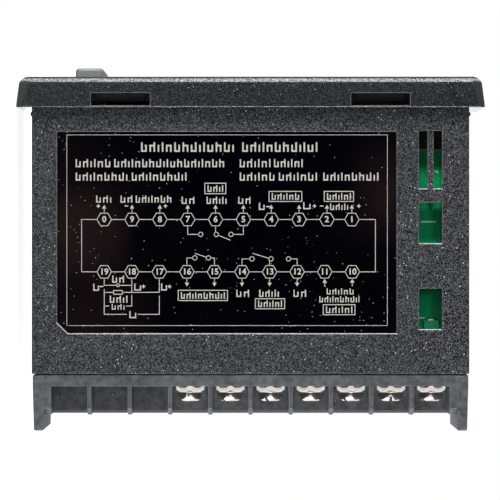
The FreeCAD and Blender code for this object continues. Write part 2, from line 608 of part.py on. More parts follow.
def make_keys():
    cap = make_key_cap()
    plunger = new_body("switch_plunger")
    square = rect("Sizes.plunger_side", "Sizes.plunger_side")
    pad(plunger, "Plunger", "XZ", plunger_front,
        f"{well_floor} - Sizes.key_travel - Sizes.plunger_play", [square])
    switch = new_body("switch_body")
    well_side = "Sizes.plunger_side + 2 * Sizes.plunger_play"
    pad(switch, "Case", "XZ", switch_front, "Sizes.front_board_start",
        [rect("Sizes.switch_side", "Sizes.switch_side")])
    cut(switch, "Well", "XZ", switch_front, well_floor, [rect(well_side, well_side)])
    made, switches = [], []
    for index, (label, across) in enumerate(zip(KEY_NAMES, key_places()), 1):
        made.append(copy_of(cap, label, across, up=key_level))
        made.append(copy_of(plunger, f"switch_plunger_{index}", across, up=key_level))
        switches.append(copy_of(switch, f"switch_{index}", across, up=key_level))
    return [*made, group("key_switches", switches)]


# Front circuit board and what it carries
def digit_module(label, width, height, across, drop):
    """Display piece whose middle lies a drop below the top of the window."""
    depth = ("Sizes.front_board_start - Sizes.digit_depth", "Sizes.front_board_start")
    return block(label, around(across, width), depth, around(f"{window_high} - {drop}", height))


def make_front_board():
    board = new_body("display_board")
    slack = "2 * Sizes.board_play"
    pad(board, "Sheet", "XZ", "Sizes.front_board_start", front_board_rear,
        [rect(f"{cavity_width} - {slack}", f"{cavity_height} - {slack}")])
    notch = f"2 * ({board_high} - {clip_high} + Sizes.clip_thick)"
    cut(board, "ClipNotches", "XZ", "Sizes.front_board_start", f"{front_board_rear} + 1",
        [rect(f"Sizes.clip_width + {slack}", notch, up=level) for level in both_sides(board_high)])
    middle = (LED_COUNT - 1) / 2
    leds = [digit_module(f"led_{index + 1}", "Sizes.led_width", "Sizes.led_height",
                         f"{index - middle} * Sizes.led_spacing", "Sizes.led_drop")
            for index in range(LED_COUNT)]
    chip_depth = (front_board_rear, f"{front_board_rear} + Sizes.chip_thick")
    chip = block("microcontroller", around("0", "Sizes.chip_side"), chip_depth,
                 around("Sizes.chip_level", "Sizes.chip_side"))
    return [board, digit_module("pv_display", "Sizes.pv_width", "Sizes.pv_height", "0", "Sizes.pv_drop"),
            digit_module("sv_display", "Sizes.sv_width", "Sizes.sv_height", "0", "Sizes.sv_drop"),
            group("indicator_leds", leds), chip]


# Side circuit boards and what they carry
def on_board(side, rise):
    """Range across from the inner face of the right (1) or left (-1) board to a part's top."""
    if side > 0:
        return (f"{board_inner} - {rise}", board_inner)
    return (minus(board_inner), f"{rise} - {board_inner}")


def make_side_boards():
    """The input board stops short of the front, the power board reaches up to the front board."""
    level = (minus(board_high), board_high)
    near_front = f"{front_board_rear} + Sizes.board_play"
    right, left = (board_inner, board_outer), (minus(board_outer), minus(board_inner))
    return [block("input_board", right, ("Sizes.board_start", "Sizes.board_end"), level),
            block("power_board", left, (near_front, "Sizes.board_end"), level)]


def make_header(side, label):
    """Two plastic strips and the pins between them, from a side board to the front board."""
    across = on_board(side, "Sizes.header_side")
    length = around("0", "Sizes.header_length")
    pin_x = around(f"({across[0]} + {across[1]}) / 2", "Sizes.pin_side")
    side_strip = ("Sizes.header_start", "Sizes.header_start + Sizes.header_side")
    front_strip = (front_board_rear, f"{front_board_rear} + Sizes.header_side")
    pieces = [block(label + "_side_strip", across, side_strip, length),
              block(label + "_front_strip", across, front_strip, length)]
    for index in range(HEADER_PINS):
        level = f"{index - (HEADER_PINS - 1) / 2} * Sizes.pin_spacing"
        pieces.append(block(f"{label}_pin_{index + 1}", pin_x, (front_strip[0], side_strip[1]),
                            around(level, "Sizes.pin_side")))
    fused = doc.addObject("Part::MultiFuse", label)
    fused.Shapes = pieces
    fused.Refine = True
    return fused


def make_relay(label, side, low):
    depth = ("Sizes.relay_start", "Sizes.relay_start + Sizes.relay_width")
    return block(label, on_board(side, "Sizes.relay_rise"), depth, (low, f"{low} + Sizes.relay_length"))


def make_transformer():
    """Core with three legs and the coil around the middle one, on the left board."""
    foot, top = on_board(-1, "Sizes.core_rise")
    middle = f"(({foot} + {top}) / 2)"
    leg = "Sizes.core_leg / 2"
    inside = ("Sizes.core_start + Sizes.core_yoke", f"{core_end} - Sizes.core_yoke")
    core = new_body("transformer_core")
    pad(core, "Core", "XY", *around("Sizes.core_centre", "Sizes.core_thick"),
        [span(foot, top, "Sizes.core_start", core_end),
         span(f"{foot} + Sizes.core_side", f"{middle} - {leg}", *inside),
         span(f"{middle} + {leg}", f"{top} - Sizes.core_side", *inside)])
    coil = new_body("transformer_winding")
    play = "2 * Sizes.coil_play"
    bore_wide, bore_tall = f"Sizes.core_leg + {play}", f"Sizes.core_thick + {play}"
    wrap = "2 * Sizes.coil_wrap"
    pad(coil, "Coil", "XZ", f"{inside[0]} + Sizes.coil_play", f"{inside[1]} - Sizes.coil_play",
        [rect(f"{bore_wide} + {wrap}", f"{bore_tall} + {wrap}", middle, "Sizes.core_centre"),
         rect(bore_wide, bore_tall, middle, "Sizes.core_centre")])
    return [core, coil]


def make_can(label, radius, length, depth, level):
    """Capacitor standing on the left board."""
    can = doc.addObject("Part::Cylinder", label)
    can.setExpression("Radius", radius)
    can.setExpression("Height", length)
    place(can, minus(board_inner), depth, level, SIDEWAYS)
    return can


def make_side_parts():
    relays = [make_relay("relay_alarm_2", 1, relay_alarm_low),
              make_relay("relay_alarm_1", -1, relay_alarm_low),
              make_relay("relay_output", -1, relay_output_low)]
    big = make_can("input_capacitor", "Sizes.big_can_radius", "Sizes.big_can_length",
                   "Sizes.big_can_y", "Sizes.big_can_z")
    small = make_can("output_capacitor", "Sizes.small_can_radius", "Sizes.small_can_length",
                     "Sizes.small_can_y", "Sizes.small_can_z")
    chips = []
    chip_depth = ("Sizes.dip_start", "Sizes.dip_start + Sizes.dip_width")
    for index in range(INPUT_CHIPS):
        low = f"Sizes.dip_low + {index} * Sizes.dip_spacing"
        chips.append(block(f"input_chip_{index + 1}", on_board(1, "Sizes.dip_rise"), chip_depth,
                           (low, f"{low} + Sizes.dip_length")))
    headers = [make_header(1, "header_right"), make_header(-1, "header_left")]
    return [*relays, big, small, group("input_chips", chips), *headers]


nodes = [make_housing(), make_label(), make_terminal_block(), *make_terminals(),
         make_front_panel(), make_window(), *make_keys(), *make_front_board(),
         *make_side_boards(), *make_side_parts(), *make_transformer()]
doc.recompute()

# Every object must have computed and every sub-part must be sound before anything is written
for item in doc.Objects:
    if "Invalid" in item.State or "Error" in item.State:
        raise RuntimeError(f"{item.Name} did not compute: {item.State}")
for node in nodes:
    if node.Shape.isNull() or not node.Shape.isValid():
        raise RuntimeError(f"{node.Label} has no sound shape")

os.makedirs("parts", exist_ok=True)
for node in nodes:
    node.Shape.exportStep(f"parts/{node.Label}.step")
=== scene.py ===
import json
import math

import bmesh
import bpy
from mathutils import Matrix, Vector

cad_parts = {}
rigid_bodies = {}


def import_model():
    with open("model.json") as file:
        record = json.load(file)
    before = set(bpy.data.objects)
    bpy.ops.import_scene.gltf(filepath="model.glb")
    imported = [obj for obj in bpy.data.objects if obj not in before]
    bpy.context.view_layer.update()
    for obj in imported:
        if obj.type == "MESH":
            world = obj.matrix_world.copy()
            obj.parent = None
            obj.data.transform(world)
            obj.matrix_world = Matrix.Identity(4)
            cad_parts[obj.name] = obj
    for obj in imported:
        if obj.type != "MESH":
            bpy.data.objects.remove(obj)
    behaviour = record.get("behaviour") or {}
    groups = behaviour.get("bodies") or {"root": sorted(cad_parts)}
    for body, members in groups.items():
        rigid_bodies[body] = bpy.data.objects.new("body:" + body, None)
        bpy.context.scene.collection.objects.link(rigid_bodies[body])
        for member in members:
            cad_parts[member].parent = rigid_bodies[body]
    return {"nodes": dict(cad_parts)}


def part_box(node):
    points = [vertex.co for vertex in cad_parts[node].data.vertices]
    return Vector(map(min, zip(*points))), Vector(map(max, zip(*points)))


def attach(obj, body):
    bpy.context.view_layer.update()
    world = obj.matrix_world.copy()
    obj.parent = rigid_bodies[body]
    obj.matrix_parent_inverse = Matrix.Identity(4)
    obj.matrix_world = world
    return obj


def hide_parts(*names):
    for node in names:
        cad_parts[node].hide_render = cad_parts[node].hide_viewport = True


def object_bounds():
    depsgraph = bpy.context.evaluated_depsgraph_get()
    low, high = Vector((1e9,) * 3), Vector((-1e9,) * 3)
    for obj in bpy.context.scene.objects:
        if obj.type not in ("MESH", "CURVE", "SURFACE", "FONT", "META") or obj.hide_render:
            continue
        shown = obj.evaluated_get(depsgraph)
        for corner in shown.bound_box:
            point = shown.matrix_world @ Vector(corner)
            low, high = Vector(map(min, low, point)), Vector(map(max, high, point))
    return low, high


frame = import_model()
cad_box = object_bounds()

# Panel-mounted temperature controller. Shapes are drawn in millimetres and scaled when they become pieces.
MM = 0.001
RIGHT_NUMBERS = range(1, 8)  # terminals with a screw on the label side, from the top down
LEFT_NUMBERS = range(10, 20)  # terminals with a screw on the far side, from the top down
KEYS = ("key_set", "key_shift", "key_down", "key_up")

# A drawing seen from the right-hand side: its across is Z, its up is -Y, its height is X
SIDE_VIEW = Matrix(((0, 0, 1, 0), (0, -1, 0, 0), (1, 0, 0, 0), (0, 0, 0, 1)))
# A drawing seen from the front: its across is X, its up is Z, its height is -Y
FRONT_VIEW = Matrix(((1, 0, 0, 0), (0, 0, -1, 0), (0, 1, 0, 0), (0, 0, 0, 1)))
# A drawing seen from the rear: its across is X, its up is -Z, its height is Y
REAR_VIEW = Matrix(((1, 0, 0, 0), (0, 0, 1, 0), (0, -1, 0, 0), (0, 0, 0, 1)))


def box_mm(node):
    """Lowest and highest corner of a CAD node, in millimetres."""
    low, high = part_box(node)
    return low / MM, high / MM


# Shader nodes
LOT_SHUFFLE = 97.0  # so many times over, a cell's colour tells nothing of its place


def math_node(operation, swapped=False):
    """A method of Wire that adds one Math node."""

    def add_node(wire, *others):
        values = (*others, wire) if swapped else (wire, *others)
        return wire.shading.node("Math", {"operation": operation}, dict(enumerate(values)))

    return add_node


class Wire:
    """An output of a shader node. Arithmetic on it adds Math nodes."""

    def __init__(self, shading, socket):
        self.shading = shading
        self.socket = socket

    __add__ = math_node("ADD")
    __sub__ = math_node("SUBTRACT")
    __rsub__ = math_node("SUBTRACT", swapped=True)
    __mul__ = math_node("MULTIPLY")
    __pow__ = math_node("POWER")
    __abs__ = math_node("ABSOLUTE")
    __gt__ = math_node("GREATER_THAN")
    __lt__ = math_node("LESS_THAN")
    fraction = math_node("FRACT")


class Shading:
    """A node tree under construction, of a material or of the world."""

    def __init__(self, owner):
        owner.use_nodes = True
        self.owner = owner
        self.tree = owner.node_tree
        self.tree.nodes.clear()

    def node(self, kind, settings=None, inputs=None, output=0):
        """Adds a ShaderNode of a kind: its settings, then the values, colours or links of its sockets."""
        made = self.tree.nodes.new("ShaderNode" + kind)
        for name, setting in (settings or {}).items():
            setattr(made, name, setting)
        for name, value in (inputs or {}).items():
            if isinstance(value, Wire):
                self.tree.links.new(value.socket, made.inputs[name])
            elif isinstance(value, tuple):
                made.inputs[name].default_value = (*value, 1)
            else:
                made.inputs[name].default_value = value
        return Wire(self, made.outputs[output]) if made.outputs else None

    def place(self):
        return self.node("TexCoord", output="Object")

    def axis(self, index):
        """One coordinate of a point, in millimetres."""
        return self.node("SeparateXYZ", None, {0: self.place()}, index) * (1 / MM)

    def noise(self, scale, detail=3.0, roughness=0.55):
        """Clouds with so many turns to the millimetre."""
        inputs = {"Vector": self.place(), "Scale": scale / MM, "Detail": detail, "Roughness": roughness}
        return self.node("TexNoise", None, inputs)

    def clouds(self, scale, detail=3.0, low=0.3, high=0.7):
        """The same clouds, with the stretch from low to high spread over 0 to 1."""
        return self.fit(self.noise(scale, detail), low, high)

    def cells(self, scale, output="Distance"):
        """Irregular cells, so many to the millimetre."""
        inputs = {"Vector": self.place(), "Scale": scale / MM}
        return self.node("TexVoronoi", {"feature": "F1"}, inputs, output)

    def lot(self, scale):
        """A random number from 0 to 1 for each cell. Its colour alone would tell where its middle lies."""
        red = self.node("SeparateColor", None, {0: self.cells(scale, "Color")})
        return (red * LOT_SHUFFLE).fraction()

    def dots(self, scale, radius, rarity):
        """1 in small dots at a few of so many places to the millimetre, 0 elsewhere."""
        return (self.cells(scale) < radius) * (self.lot(scale) > rarity)

    def fit(self, value, low, high, to_low=0.0, to_high=1.0):
        """Maps low..high of a value to another range, and keeps it there."""
        inputs = {0: value, 1: low, 2: high, 3: to_low, 4: to_high}
        return self.node("MapRange", {"clamp": True}, inputs)

    def blend(self, factor, first, second):
        """First colour where the factor is 0, second where it is 1."""
        return self.node("Mix", {"data_type": "RGBA"}, {0: factor, 6: first, 7: second}, 2)

    def bump(self, height, depth, strength=1.0):
        """A relief of so many millimetres, as a normal."""
        inputs = {"Height": height, "Distance": depth * MM, "Strength": strength}
        return self.node("Bump", None, inputs)

    def worn(self):
        """Wear and painted highlight of the rounded edges of a softened piece, 0 elsewhere."""
        return self.node("Attribute", {"attribute_name": "worn"}, output="Fac")

    def surface(self, **sockets):
        """Closes a material with one principled shader."""
        inputs = {name.replace("_", " "): value for name, value in sockets.items()}
        return self.close("OutputMaterial", self.node("BsdfPrincipled", None, inputs))

    def close(self, kind, shader):
        self.node(kind, None, {0: shader})
        return self.owner


def new_finish(name):
    return Shading(bpy.data.materials.new(name))


# Plastics
FAINT_WEAR_AND_HIGHLIGHT = 0.12  # faint wear and painted highlight of the rounded edges that face elsewhere than to the front
FLANGE_FRONT = box_mm("housing")[0].y
CORNER_REAR = 71.2  # across plus up on the cut corners of the flange, at its rear edge
CORNER_FRONT = 68.5  # and at its front
CORNER_MARGIN = 0.3
GRAIN = 5.6  # grains to the millimetre
CHAMFER_HIGHLIGHT = (-5.9, -5.2)  # the part of the flange's chamfer that gets a painted highlight, where the front light would catch it
FLANGE_REAR = 0.1  # the smooth rear face of the flange lies within this of the panel's face
FLANGE_PALENESS = 0.34  # the grain of the flange shows so much, and more and more behind it
# Painted shadow of the flange on the case: just behind the flange the grain is dimmed to this part, and it
# brightens to full over the reach, in millimetres behind the flange
UNDER_FLANGE_SHADOW = 0.8
UNDER_FLANGE_SHADOW_REACH = (1.4, 2.6)
GLINTS = (1.9, 0.2, 0.93)  # places to the millimetre where a painted glint may lie on the grain, its radius and its rarity
SPECKS = (0.8, 0.13, 0.93)  # the same for the pale specks of the rear moulding
SPINE_SHADE = (62.5, 63.08)  # how far back the bevel of the block's spine lies, which is painted with shade
SPINE_HALF = 2.05


def case_plastic():
    """Black spark-eroded grain with painted glints; a darker flange with smooth corners, painted shadow
    behind it and painted highlights on edges.
    """
    finish = new_finish("case_plastic")
    along = finish.axis(1)
    corner_line = finish.fit(along, FLANGE_FRONT, 0.0, CORNER_FRONT, CORNER_REAR) - CORNER_MARGIN
    corner = (abs(finish.axis(0)) + abs(finish.axis(2)) > corner_line) * (along < FLANGE_REAR)
    rear = finish.fit(abs(along), FLANGE_REAR, 1.6 * FLANGE_REAR, 1.0, 0.0)
    smooth = finish.fit(corner + rear, 0.0, 1.0)
    rim = (along > CHAMFER_HIGHLIGHT[0]) * (along < CHAMFER_HIGHLIGHT[1])
    # The flange's grain is dimmed, and just behind the flange a painted shadow dims the grain too
    grain_paleness_and_shadow = finish.fit(along, -0.4, -FLANGE_REAR, FLANGE_PALENESS, UNDER_FLANGE_SHADOW)
    grain_paleness_and_shadow = grain_paleness_and_shadow + finish.fit(along, *UNDER_FLANGE_SHADOW_REACH, 0.0, 1 - UNDER_FLANGE_SHADOW)
    chance = finish.lot(GRAIN)
    glint = finish.dots(*GLINTS)
    grain = finish.noise(GRAIN, 2.0, 0.6)
    shade = finish.clouds(0.04)
    base = finish.blend(shade, (0.0022, 0.0022, 0.003), (0.0042, 0.0044, 0.0055))
    base = finish.blend(chance ** 2.4 * grain_paleness_and_shadow, base, (0.115, 0.120, 0.133))
    # Painted glints, paler than the grain
    base = finish.blend(glint * grain_paleness_and_shadow, base, (0.6, 0.61, 0.65))
    # Painted highlight on the rounded edges that face the front, faint wear and painted highlight on the
    # other rounded edges
    base = finish.blend(finish.worn() * (chance * 0.6 + 0.4), base, (0.55, 0.56, 0.59))
    # Painted highlight on the band of the chamfer that faces the front lamp
    base = finish.blend(rim * chance, base, (0.38, 0.385, 0.41))
    base = finish.blend(corner, base, (0.026, 0.027, 0.028))
    roughness = finish.fit(grain, 0.3, 0.7, 0.52, 0.36)
    roughness = finish.fit(rear, 0.0, 1.0, roughness, 0.06)
    normal = finish.bump(grain * (1 - smooth), 0.07)
    return finish.surface(Base_Color=base, Roughness=roughness, Normal=normal, Specular_IOR_Level=0.14)


def block_plastic():
    """Dark grey moulding, mottled, with pale specks, and painted shade on the bevel along its spine."""
    finish = new_finish("block_plastic")
    flow = finish.clouds(0.12, 4.0)
    mottle = finish.clouds(0.8, 3.0, 0.36, 0.64)
    fine = finish.noise(4.0, 3.0)
    speck = finish.dots(*SPECKS)
    along = finish.axis(1)
    bevel = (along > SPINE_SHADE[0]) * (along < SPINE_SHADE[1]) * (abs(finish.axis(0)) < SPINE_HALF)
    base = finish.blend(flow * 0.4 + mottle * 0.6, (0.028, 0.032, 0.037), (0.093, 0.100, 0.110))
    # Wear and painted highlight on the rounded edges
    edge_wear_and_highlight = finish.fit(finish.worn(), 0.0, FAINT_WEAR_AND_HIGHLIGHT, 0.0, 0.35)
    base = finish.blend(edge_wear_and_highlight, base, (0.16, 0.165, 0.175))
    base = finish.blend(speck * 0.6, base, (0.42, 0.43, 0.45))
    # Painted shade on the bevel at the rear of the spine
    base = finish.blend(bevel, base, (0.014, 0.015, 0.017))
    roughness = finish.fit(fine, 0.3, 0.7, 0.5, 0.62)
    normal = finish.bump(fine * 0.7 + flow, 0.03)
    return finish.surface(Base_Color=base, Roughness=roughness, Normal=normal, Specular_IOR_Level=0.3)


def satin_plastic(name, dark, pale, roughness=0.42, grain=3.0, relief=0.02):
    """A plain moulded plastic with a fine grain."""
    finish = new_finish(name)
    fine = finish.noise(grain, 3.0)
    base = finish.blend(finish.clouds(0.1), dark, pale)
    rough = finish.fit(fine, 0.3, 0.7, roughness - 0.06, roughness + 0.08)
    return finish.surface(Base_Color=base, Roughness=rough, Normal=finish.bump(fine, relief))


DUST = 1.3  # places to the millimetre where a grain of dust may lie
DUST_RADIUS = 0.1


def label_film():
    """Glossy black film with a little dust and faint smears."""
    finish = new_finish("label_film")
    smear = finish.noise(0.09, 5.0, 0.6)
    rarity = finish.fit(finish.noise(0.03, 2.0), 0.40, 0.60, 0.93, 0.48)
    dust = finish.dots(DUST, DUST_RADIUS, rarity)
    clean, smeared = (0.0002, 0.0002, 0.0006), (0.0005, 0.0005, 0.001)
    base = finish.blend(finish.fit(smear, 0.4, 0.7), clean, smeared)
    base = finish.blend(dust * finish.lot(DUST), base, (0.46, 0.46, 0.47))
    roughness = finish.fit(smear, 0.35, 0.75, 0.05, 0.11) + dust * 0.4
    return finish.surface(Base_Color=base, Roughness=roughness)


def clouded(name, clouds, first, second, roughness, relief=None, sockets=None):
    """A finish that clouds vary between two tones and two roughnesses."""
    finish = new_finish(name)
    cloud = finish.clouds(*clouds)
    inputs = dict(sockets or {})
    if relief:
        grain, detail, depth = relief
        inputs["Normal"] = finish.bump(finish.noise(grain, detail), depth)
    base = finish.blend(cloud, first, second)
    rough = finish.fit(cloud, 0.0, 1.0, *roughness)
    return finish.surface(Base_Color=base, Roughness=rough, **inputs)


# Metals, and boards with what they carry
MASK_END = 50.0  # in front of this, the boards' green mask covers the tails


def tinned_brass():
    """Tinned contact metal, greyer and softer than the screws."""
    finish = new_finish("tinned_brass")
    cloud = finish.clouds(0.7, 4.0)
    base = finish.blend(cloud, (0.70, 0.68, 0.64), (0.54, 0.51, 0.45))
    covered = finish.axis(1) < MASK_END
    base = finish.blend(covered, base, (0.001, 0.16, 0.06))
    roughness = finish.fit(cloud, 0.0, 1.0, 0.4, 0.55)
    normal = finish.bump(finish.noise(5.0), 0.012)
    return finish.surface(Base_Color=base, Metallic=1 - covered, Roughness=roughness, Normal=normal)


BOARD_CUT = 8.72  # the sawn edge of the side boards, bare of solder mask, lies in front of this
TRACK_LANES = 0.18  # patches of tracks to the millimetre
TRACK_PITCH = 0.42  # tracks to the millimetre
TRACK_GAP = 0.62  # part of the pitch that is left between two of them
TRACK_SHIFT = 3.0  # so many pitches, at most, they are shifted from patch to patch
TAPE_TURNS = 0.25  # turns of tape to the millimetre


def board_tracks(name, bare, tracked):
    """A board with its solder mask: the copper tracks are paler and stand a little higher."""
    finish = new_finish(name)
    lane = finish.lot(TRACK_LANES)
    track = (finish.axis(2) * TRACK_PITCH + lane * TRACK_SHIFT).fraction() > TRACK_GAP
    cloud = finish.clouds(0.3, 2.0, 0.35, 0.65)
    base = finish.blend(track * 0.35, bare, tracked)
    base = finish.blend(cloud * 0.3, base, bare)
    normal = finish.bump(track + finish.noise(3.0) * 0.1, 0.03)
    base = finish.blend(finish.axis(1) < BOARD_CUT, base, (0.30, 0.30, 0.20))
    roughness = finish.fit(cloud, 0.0, 1.0, 0.42, 0.55)
    return finish.surface(Base_Color=base, Roughness=roughness, Normal=normal, Specular_IOR_Level=0.15)


def coil_tape():
    """Yellow tape with its overlapping turns."""
    finish = new_finish("coil_tape")
    turn = (finish.axis(1) * TAPE_TURNS).fraction()
    base = finish.blend(finish.fit(turn, 0.0, 1.0), (0.58, 0.39, 0.05), (0.72, 0.52, 0.09))
    roughness = finish.fit(finish.noise(2.0), 0.3, 0.7, 0.3, 0.45)
    return finish.surface(Base_Color=base, Roughness=roughness, Normal=finish.bump(turn, 0.05))


# Clouds, the two tones, the two roughnesses, and then the relief and other inputs of those that have them
CLOUDED = {
    "label_ink": ((2.5,), (0.31, 0.30, 0.27), (0.41, 0.395, 0.36), (0.55, 0.42)),
    "silkscreen_ink": ((3.0,), (0.30, 0.62, 0.44), (0.38, 0.70, 0.52), (0.5, 0.65)),
    "digit_resin": ((1.2,), (0.42, 0.36, 0.35), (0.52, 0.46, 0.45), (0.35, 0.5)),
    "solder": ((2.0, 3.0, 0.35), (0.74, 0.74, 0.73), (0.5, 0.5, 0.49), (0.2, 0.4), None, {"Metallic": 1.0}),
    # Bright nickel plating with fine turning marks and a few dull spots
    "plated_steel": ((0.9, 4.0, 0.45, 0.75), (0.80, 0.785, 0.75), (0.62, 0.60, 0.56), (0.13, 0.26),
                     (9.0, 2.0, 0.006), {"Metallic": 1.0}),
    # Stamped washers: bright, but with edges too rough to mirror anything
    "washer_steel": ((1.4, 4.0, 0.35), (0.95, 0.92, 0.90), (0.82, 0.78, 0.75), (0.42, 0.56),
                     (7.0, 3.0, 0.02), {"Metallic": 0.45}),
    # Dark tinted lens, clear enough to show the digits behind it
    "smoked_window": ((0.06, 4.0, 0.35), (0.30, 0.27, 0.26), (0.33, 0.30, 0.29), (0.03, 0.07),
                      None, {"Transmission_Weight": 1.0, "IOR": 1.49}),
}
# Dark tone, pale tone, and then roughness, grains to the millimetre and relief if they aren't the usual ones
SATIN_PLASTICS = {
    "panel_plastic": ((0.018, 0.018, 0.019), (0.024, 0.024, 0.026), 0.46, 3.5, 0.05),
    "digit_module": ((0.016, 0.016, 0.017), (0.024, 0.024, 0.026), 0.5),
    "led_resin": ((0.34, 0.06, 0.045), (0.46, 0.09, 0.07), 0.28),
    "chip_resin": ((0.014, 0.014, 0.015), (0.022, 0.022, 0.024), 0.55),
    "switch_plastic": ((0.02, 0.02, 0.021), (0.03, 0.03, 0.031)),
    "header_plastic": ((0.016, 0.016, 0.017), (0.024, 0.024, 0.025)),
    "relay_case": ((0.02, 0.07, 0.24), (0.03, 0.09, 0.3), 0.35),
    "ferrite": ((0.045, 0.045, 0.048), (0.07, 0.07, 0.075), 0.6, 2.0, 0.04),
    "capacitor_sleeve": ((0.012, 0.016, 0.05), (0.02, 0.026, 0.07), 0.3),
    "key_plastic": ((0.16, 0.162, 0.165), (0.19, 0.192, 0.195), 0.5, 4.0, 0.03),
    "key_ink": ((0.6, 0.6, 0.58), (0.7, 0.7, 0.68), 0.5),
}

FINISHES = {
    "case_plastic": case_plastic(),
    "block_plastic": block_plastic(),
    "label_film": label_film(),
    "green_board": board_tracks("green_board", (0.0003, 0.235, 0.08), (0.0005, 0.29, 0.10)),
    "brown_board": board_tracks("brown_board", (0.66, 0.32, 0.19), (0.74, 0.38, 0.23)),
    "coil_tape": coil_tape(),
    "tinned_brass": tinned_brass(),
}
FINISHES.update({name: clouded(name, *looks) for name, looks in CLOUDED.items()})
FINISHES.update({name: satin_plastic(name, *looks) for name, looks in SATIN_PLASTICS.items()})

# CAD nodes that stay in view, by their finish
NODE_FINISHES = {
    "label_film": ["rating_label"],
    "smoked_window": ["display_window"],
    "green_board": ["display_board", "input_board"],
    "brown_board": ["power_board"],
    "digit_module": ["pv_display", "sv_display"],
    "led_resin": ["indicator_leds"],
    "chip_resin": ["microcontroller", "input_chips"],
    "switch_plastic": ["key_switches", *(f"switch_plunger_{number}" for number in range(1, 5))],
    "header_plastic": ["header_left", "header_right"],
    "relay_case": ["relay_alarm_1", "relay_alarm_2", "relay_output"],
    "ferrite": ["transformer_core"],
    "coil_tape": ["transformer_winding"],
    "capacitor_sleeve": ["input_capacitor", "output_capacitor"],
    "tinned_brass": ["contact_plates_left", "contact_plates_right"],
}


def dress_nodes():
    for finish, nodes in NODE_FINISHES.items():
        for node in nodes:
            mesh = frame["nodes"][node].data
            mesh.materials.clear()
            mesh.materials.append(FINISHES[finish])


SAWN_ROUND = 0.25


def round_board():
    """The sawn edges of the label-side board are a little rounded."""
    edges = frame["nodes"]["input_board"].modifiers.new("sawn_edges", "BEVEL")
    edges.width = SAWN_ROUND * MM
    edges.segments = 2


# Pieces
def loose_object(name, shape):
    """An object in the scene that has the shape, which isn't used again."""
    mesh = bpy.data.meshes.new(name)
    shape.to_mesh(mesh)
    shape.free()
    item = bpy.data.objects.new(name, mesh)
    bpy.context.scene.collection.objects.link(item)
    return item


def add_piece(name, shape, body, slot, finish=None, smooth=35):
    """Makes a shape, whose vertices are in metres, a piece that rides on a body."""
    piece = loose_object(name, shape)
    mesh = piece.data
    mesh.materials.append(FINISHES[finish or slot])
    mesh.polygons.foreach_set("use_smooth", [True] * len(mesh.polygons))
    mesh.set_sharp_from_angle(angle=math.radians(smooth))
    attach(piece, body)
    return piece


def settle(shape, view=Matrix()):
    """Moves a shape drawn in millimetres to its place, in metres, and turns its faces outwards."""
    bmesh.ops.transform(shape, matrix=Matrix.Scale(MM, 4) @ view, verts=shape.verts)
    bmesh.ops.recalc_face_normals(shape, faces=shape.faces)
    return shape


def add_box(shape, middle, size):
    """Adds a block to a shape and gives back its points."""
    place = Matrix.Translation(middle) @ Matrix.Diagonal((*size, 1))
    return bmesh.ops.create_cube(shape, size=1, matrix=place)["verts"]


def double(shape):
    """Gives a sheet a second side and gives back its points."""
    grown = bmesh.ops.extrude_face_region(shape, geom=list(shape.faces))
    return [item for item in grown["geom"] if isinstance(item, bmesh.types.BMVert)]


def round_lines(shape, lines, width, segments, clamp=False):
    """Rounds some edges of a shape, and gives back the new faces."""
    made = bmesh.ops.bevel(shape, geom=lines, offset=width, offset_type="OFFSET", segments=segments,
                           profile=0.5, affect="EDGES", material=-1, clamp_overlap=clamp)
    return made["faces"]


SHARP = math.radians(35)
SEAM = 0.001  # points that lie closer than this are one
FLAT = math.radians(1)  # faces that meet at less than this are one
FRONT_ZONE = 1.3  # depth of the flange's chamfer, and a little more
FRONT_RIM = (21.9, 45.9)  # the chamfer lies outside this, across or up
FRONT_ROUND = 0.5
HIGHLIGHT_FACING = -0.25  # rounded edges behind the flange that face the front more than this get a full painted highlight
HIGHLIGHT_START = 1.0


def round_edges(shape, chosen, width, segments):
    """Rounds the sharp outer edges that a test chooses."""
    sharp = [line for line in shape.edges
             if line.is_convex and line.calc_face_angle() > SHARP and chosen(line)]
    return round_lines(shape, sharp, width * MM, segments)


def on_flange_front(line):
    """True for the edges of the chamfer that runs round the front of the flange."""
    places = [vert.co / MM for vert in line.verts]
    return all(place.y < FLANGE_FRONT + FRONT_ZONE
               and (abs(place.x) > FRONT_RIM[0] or abs(place.z) > FRONT_RIM[1]) for place in places)


def on_front_ring(line):
    """True for the lines of the flat ring at the flange's very front, which has to stay in small faces."""
    return all(vert.co.y < (FLANGE_FRONT + SEAM) * MM for vert in line.verts)


def soften(node, name, slot, edge):
    """A copy of a CAD node with its sharp edges rounded, which stands for the node."""
    shape = bmesh.new()
    shape.from_mesh(frame["nodes"][node].data)
    worn = shape.faces.layers.float.new("worn")
    bmesh.ops.remove_doubles(shape, verts=shape.verts, dist=SEAM * MM)
    merged = [line for line in shape.edges if not (node == "housing" and on_front_ring(line))]
    bmesh.ops.dissolve_limit(shape, angle_limit=FLAT, verts=[], edges=merged)
    if node == "housing":
        round_edges(shape, on_flange_front, FRONT_ROUND, 4)
    for face in round_edges(shape, lambda line: True, edge, 2):
        face.normal_update()
        # Rounded edges that face the front lamp get a full painted highlight, the others faint wear and
        # painted highlight
        highlighted = face.normal.y < HIGHLIGHT_FACING and face.calc_center_median().y > HIGHLIGHT_START * MM
        face[worn] = 1.0 if highlighted else FAINT_WEAR_AND_HIGHLIGHT
    piece = add_piece(name, shape, "case", slot)
    piece.modifiers.new("even_normals", "WEIGHTED_NORMAL").keep_sharp = True
    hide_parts(node)
    return piece


# Flat print, drawn with across to the right and up, and then given the thickness of its ink
INK = 0.03
STROKE = 0.145
FONT_SIZE = 1.4  # parts of a number's height: the size of its font, and how much it is thickened
FONT_WEIGHT = 0.035
WORD_STROKE = 0.17  # parts of a word's height: its strokes, its low uprights and the steps between them
WORD_LOW = 0.74
WORD_STEP = 0.42


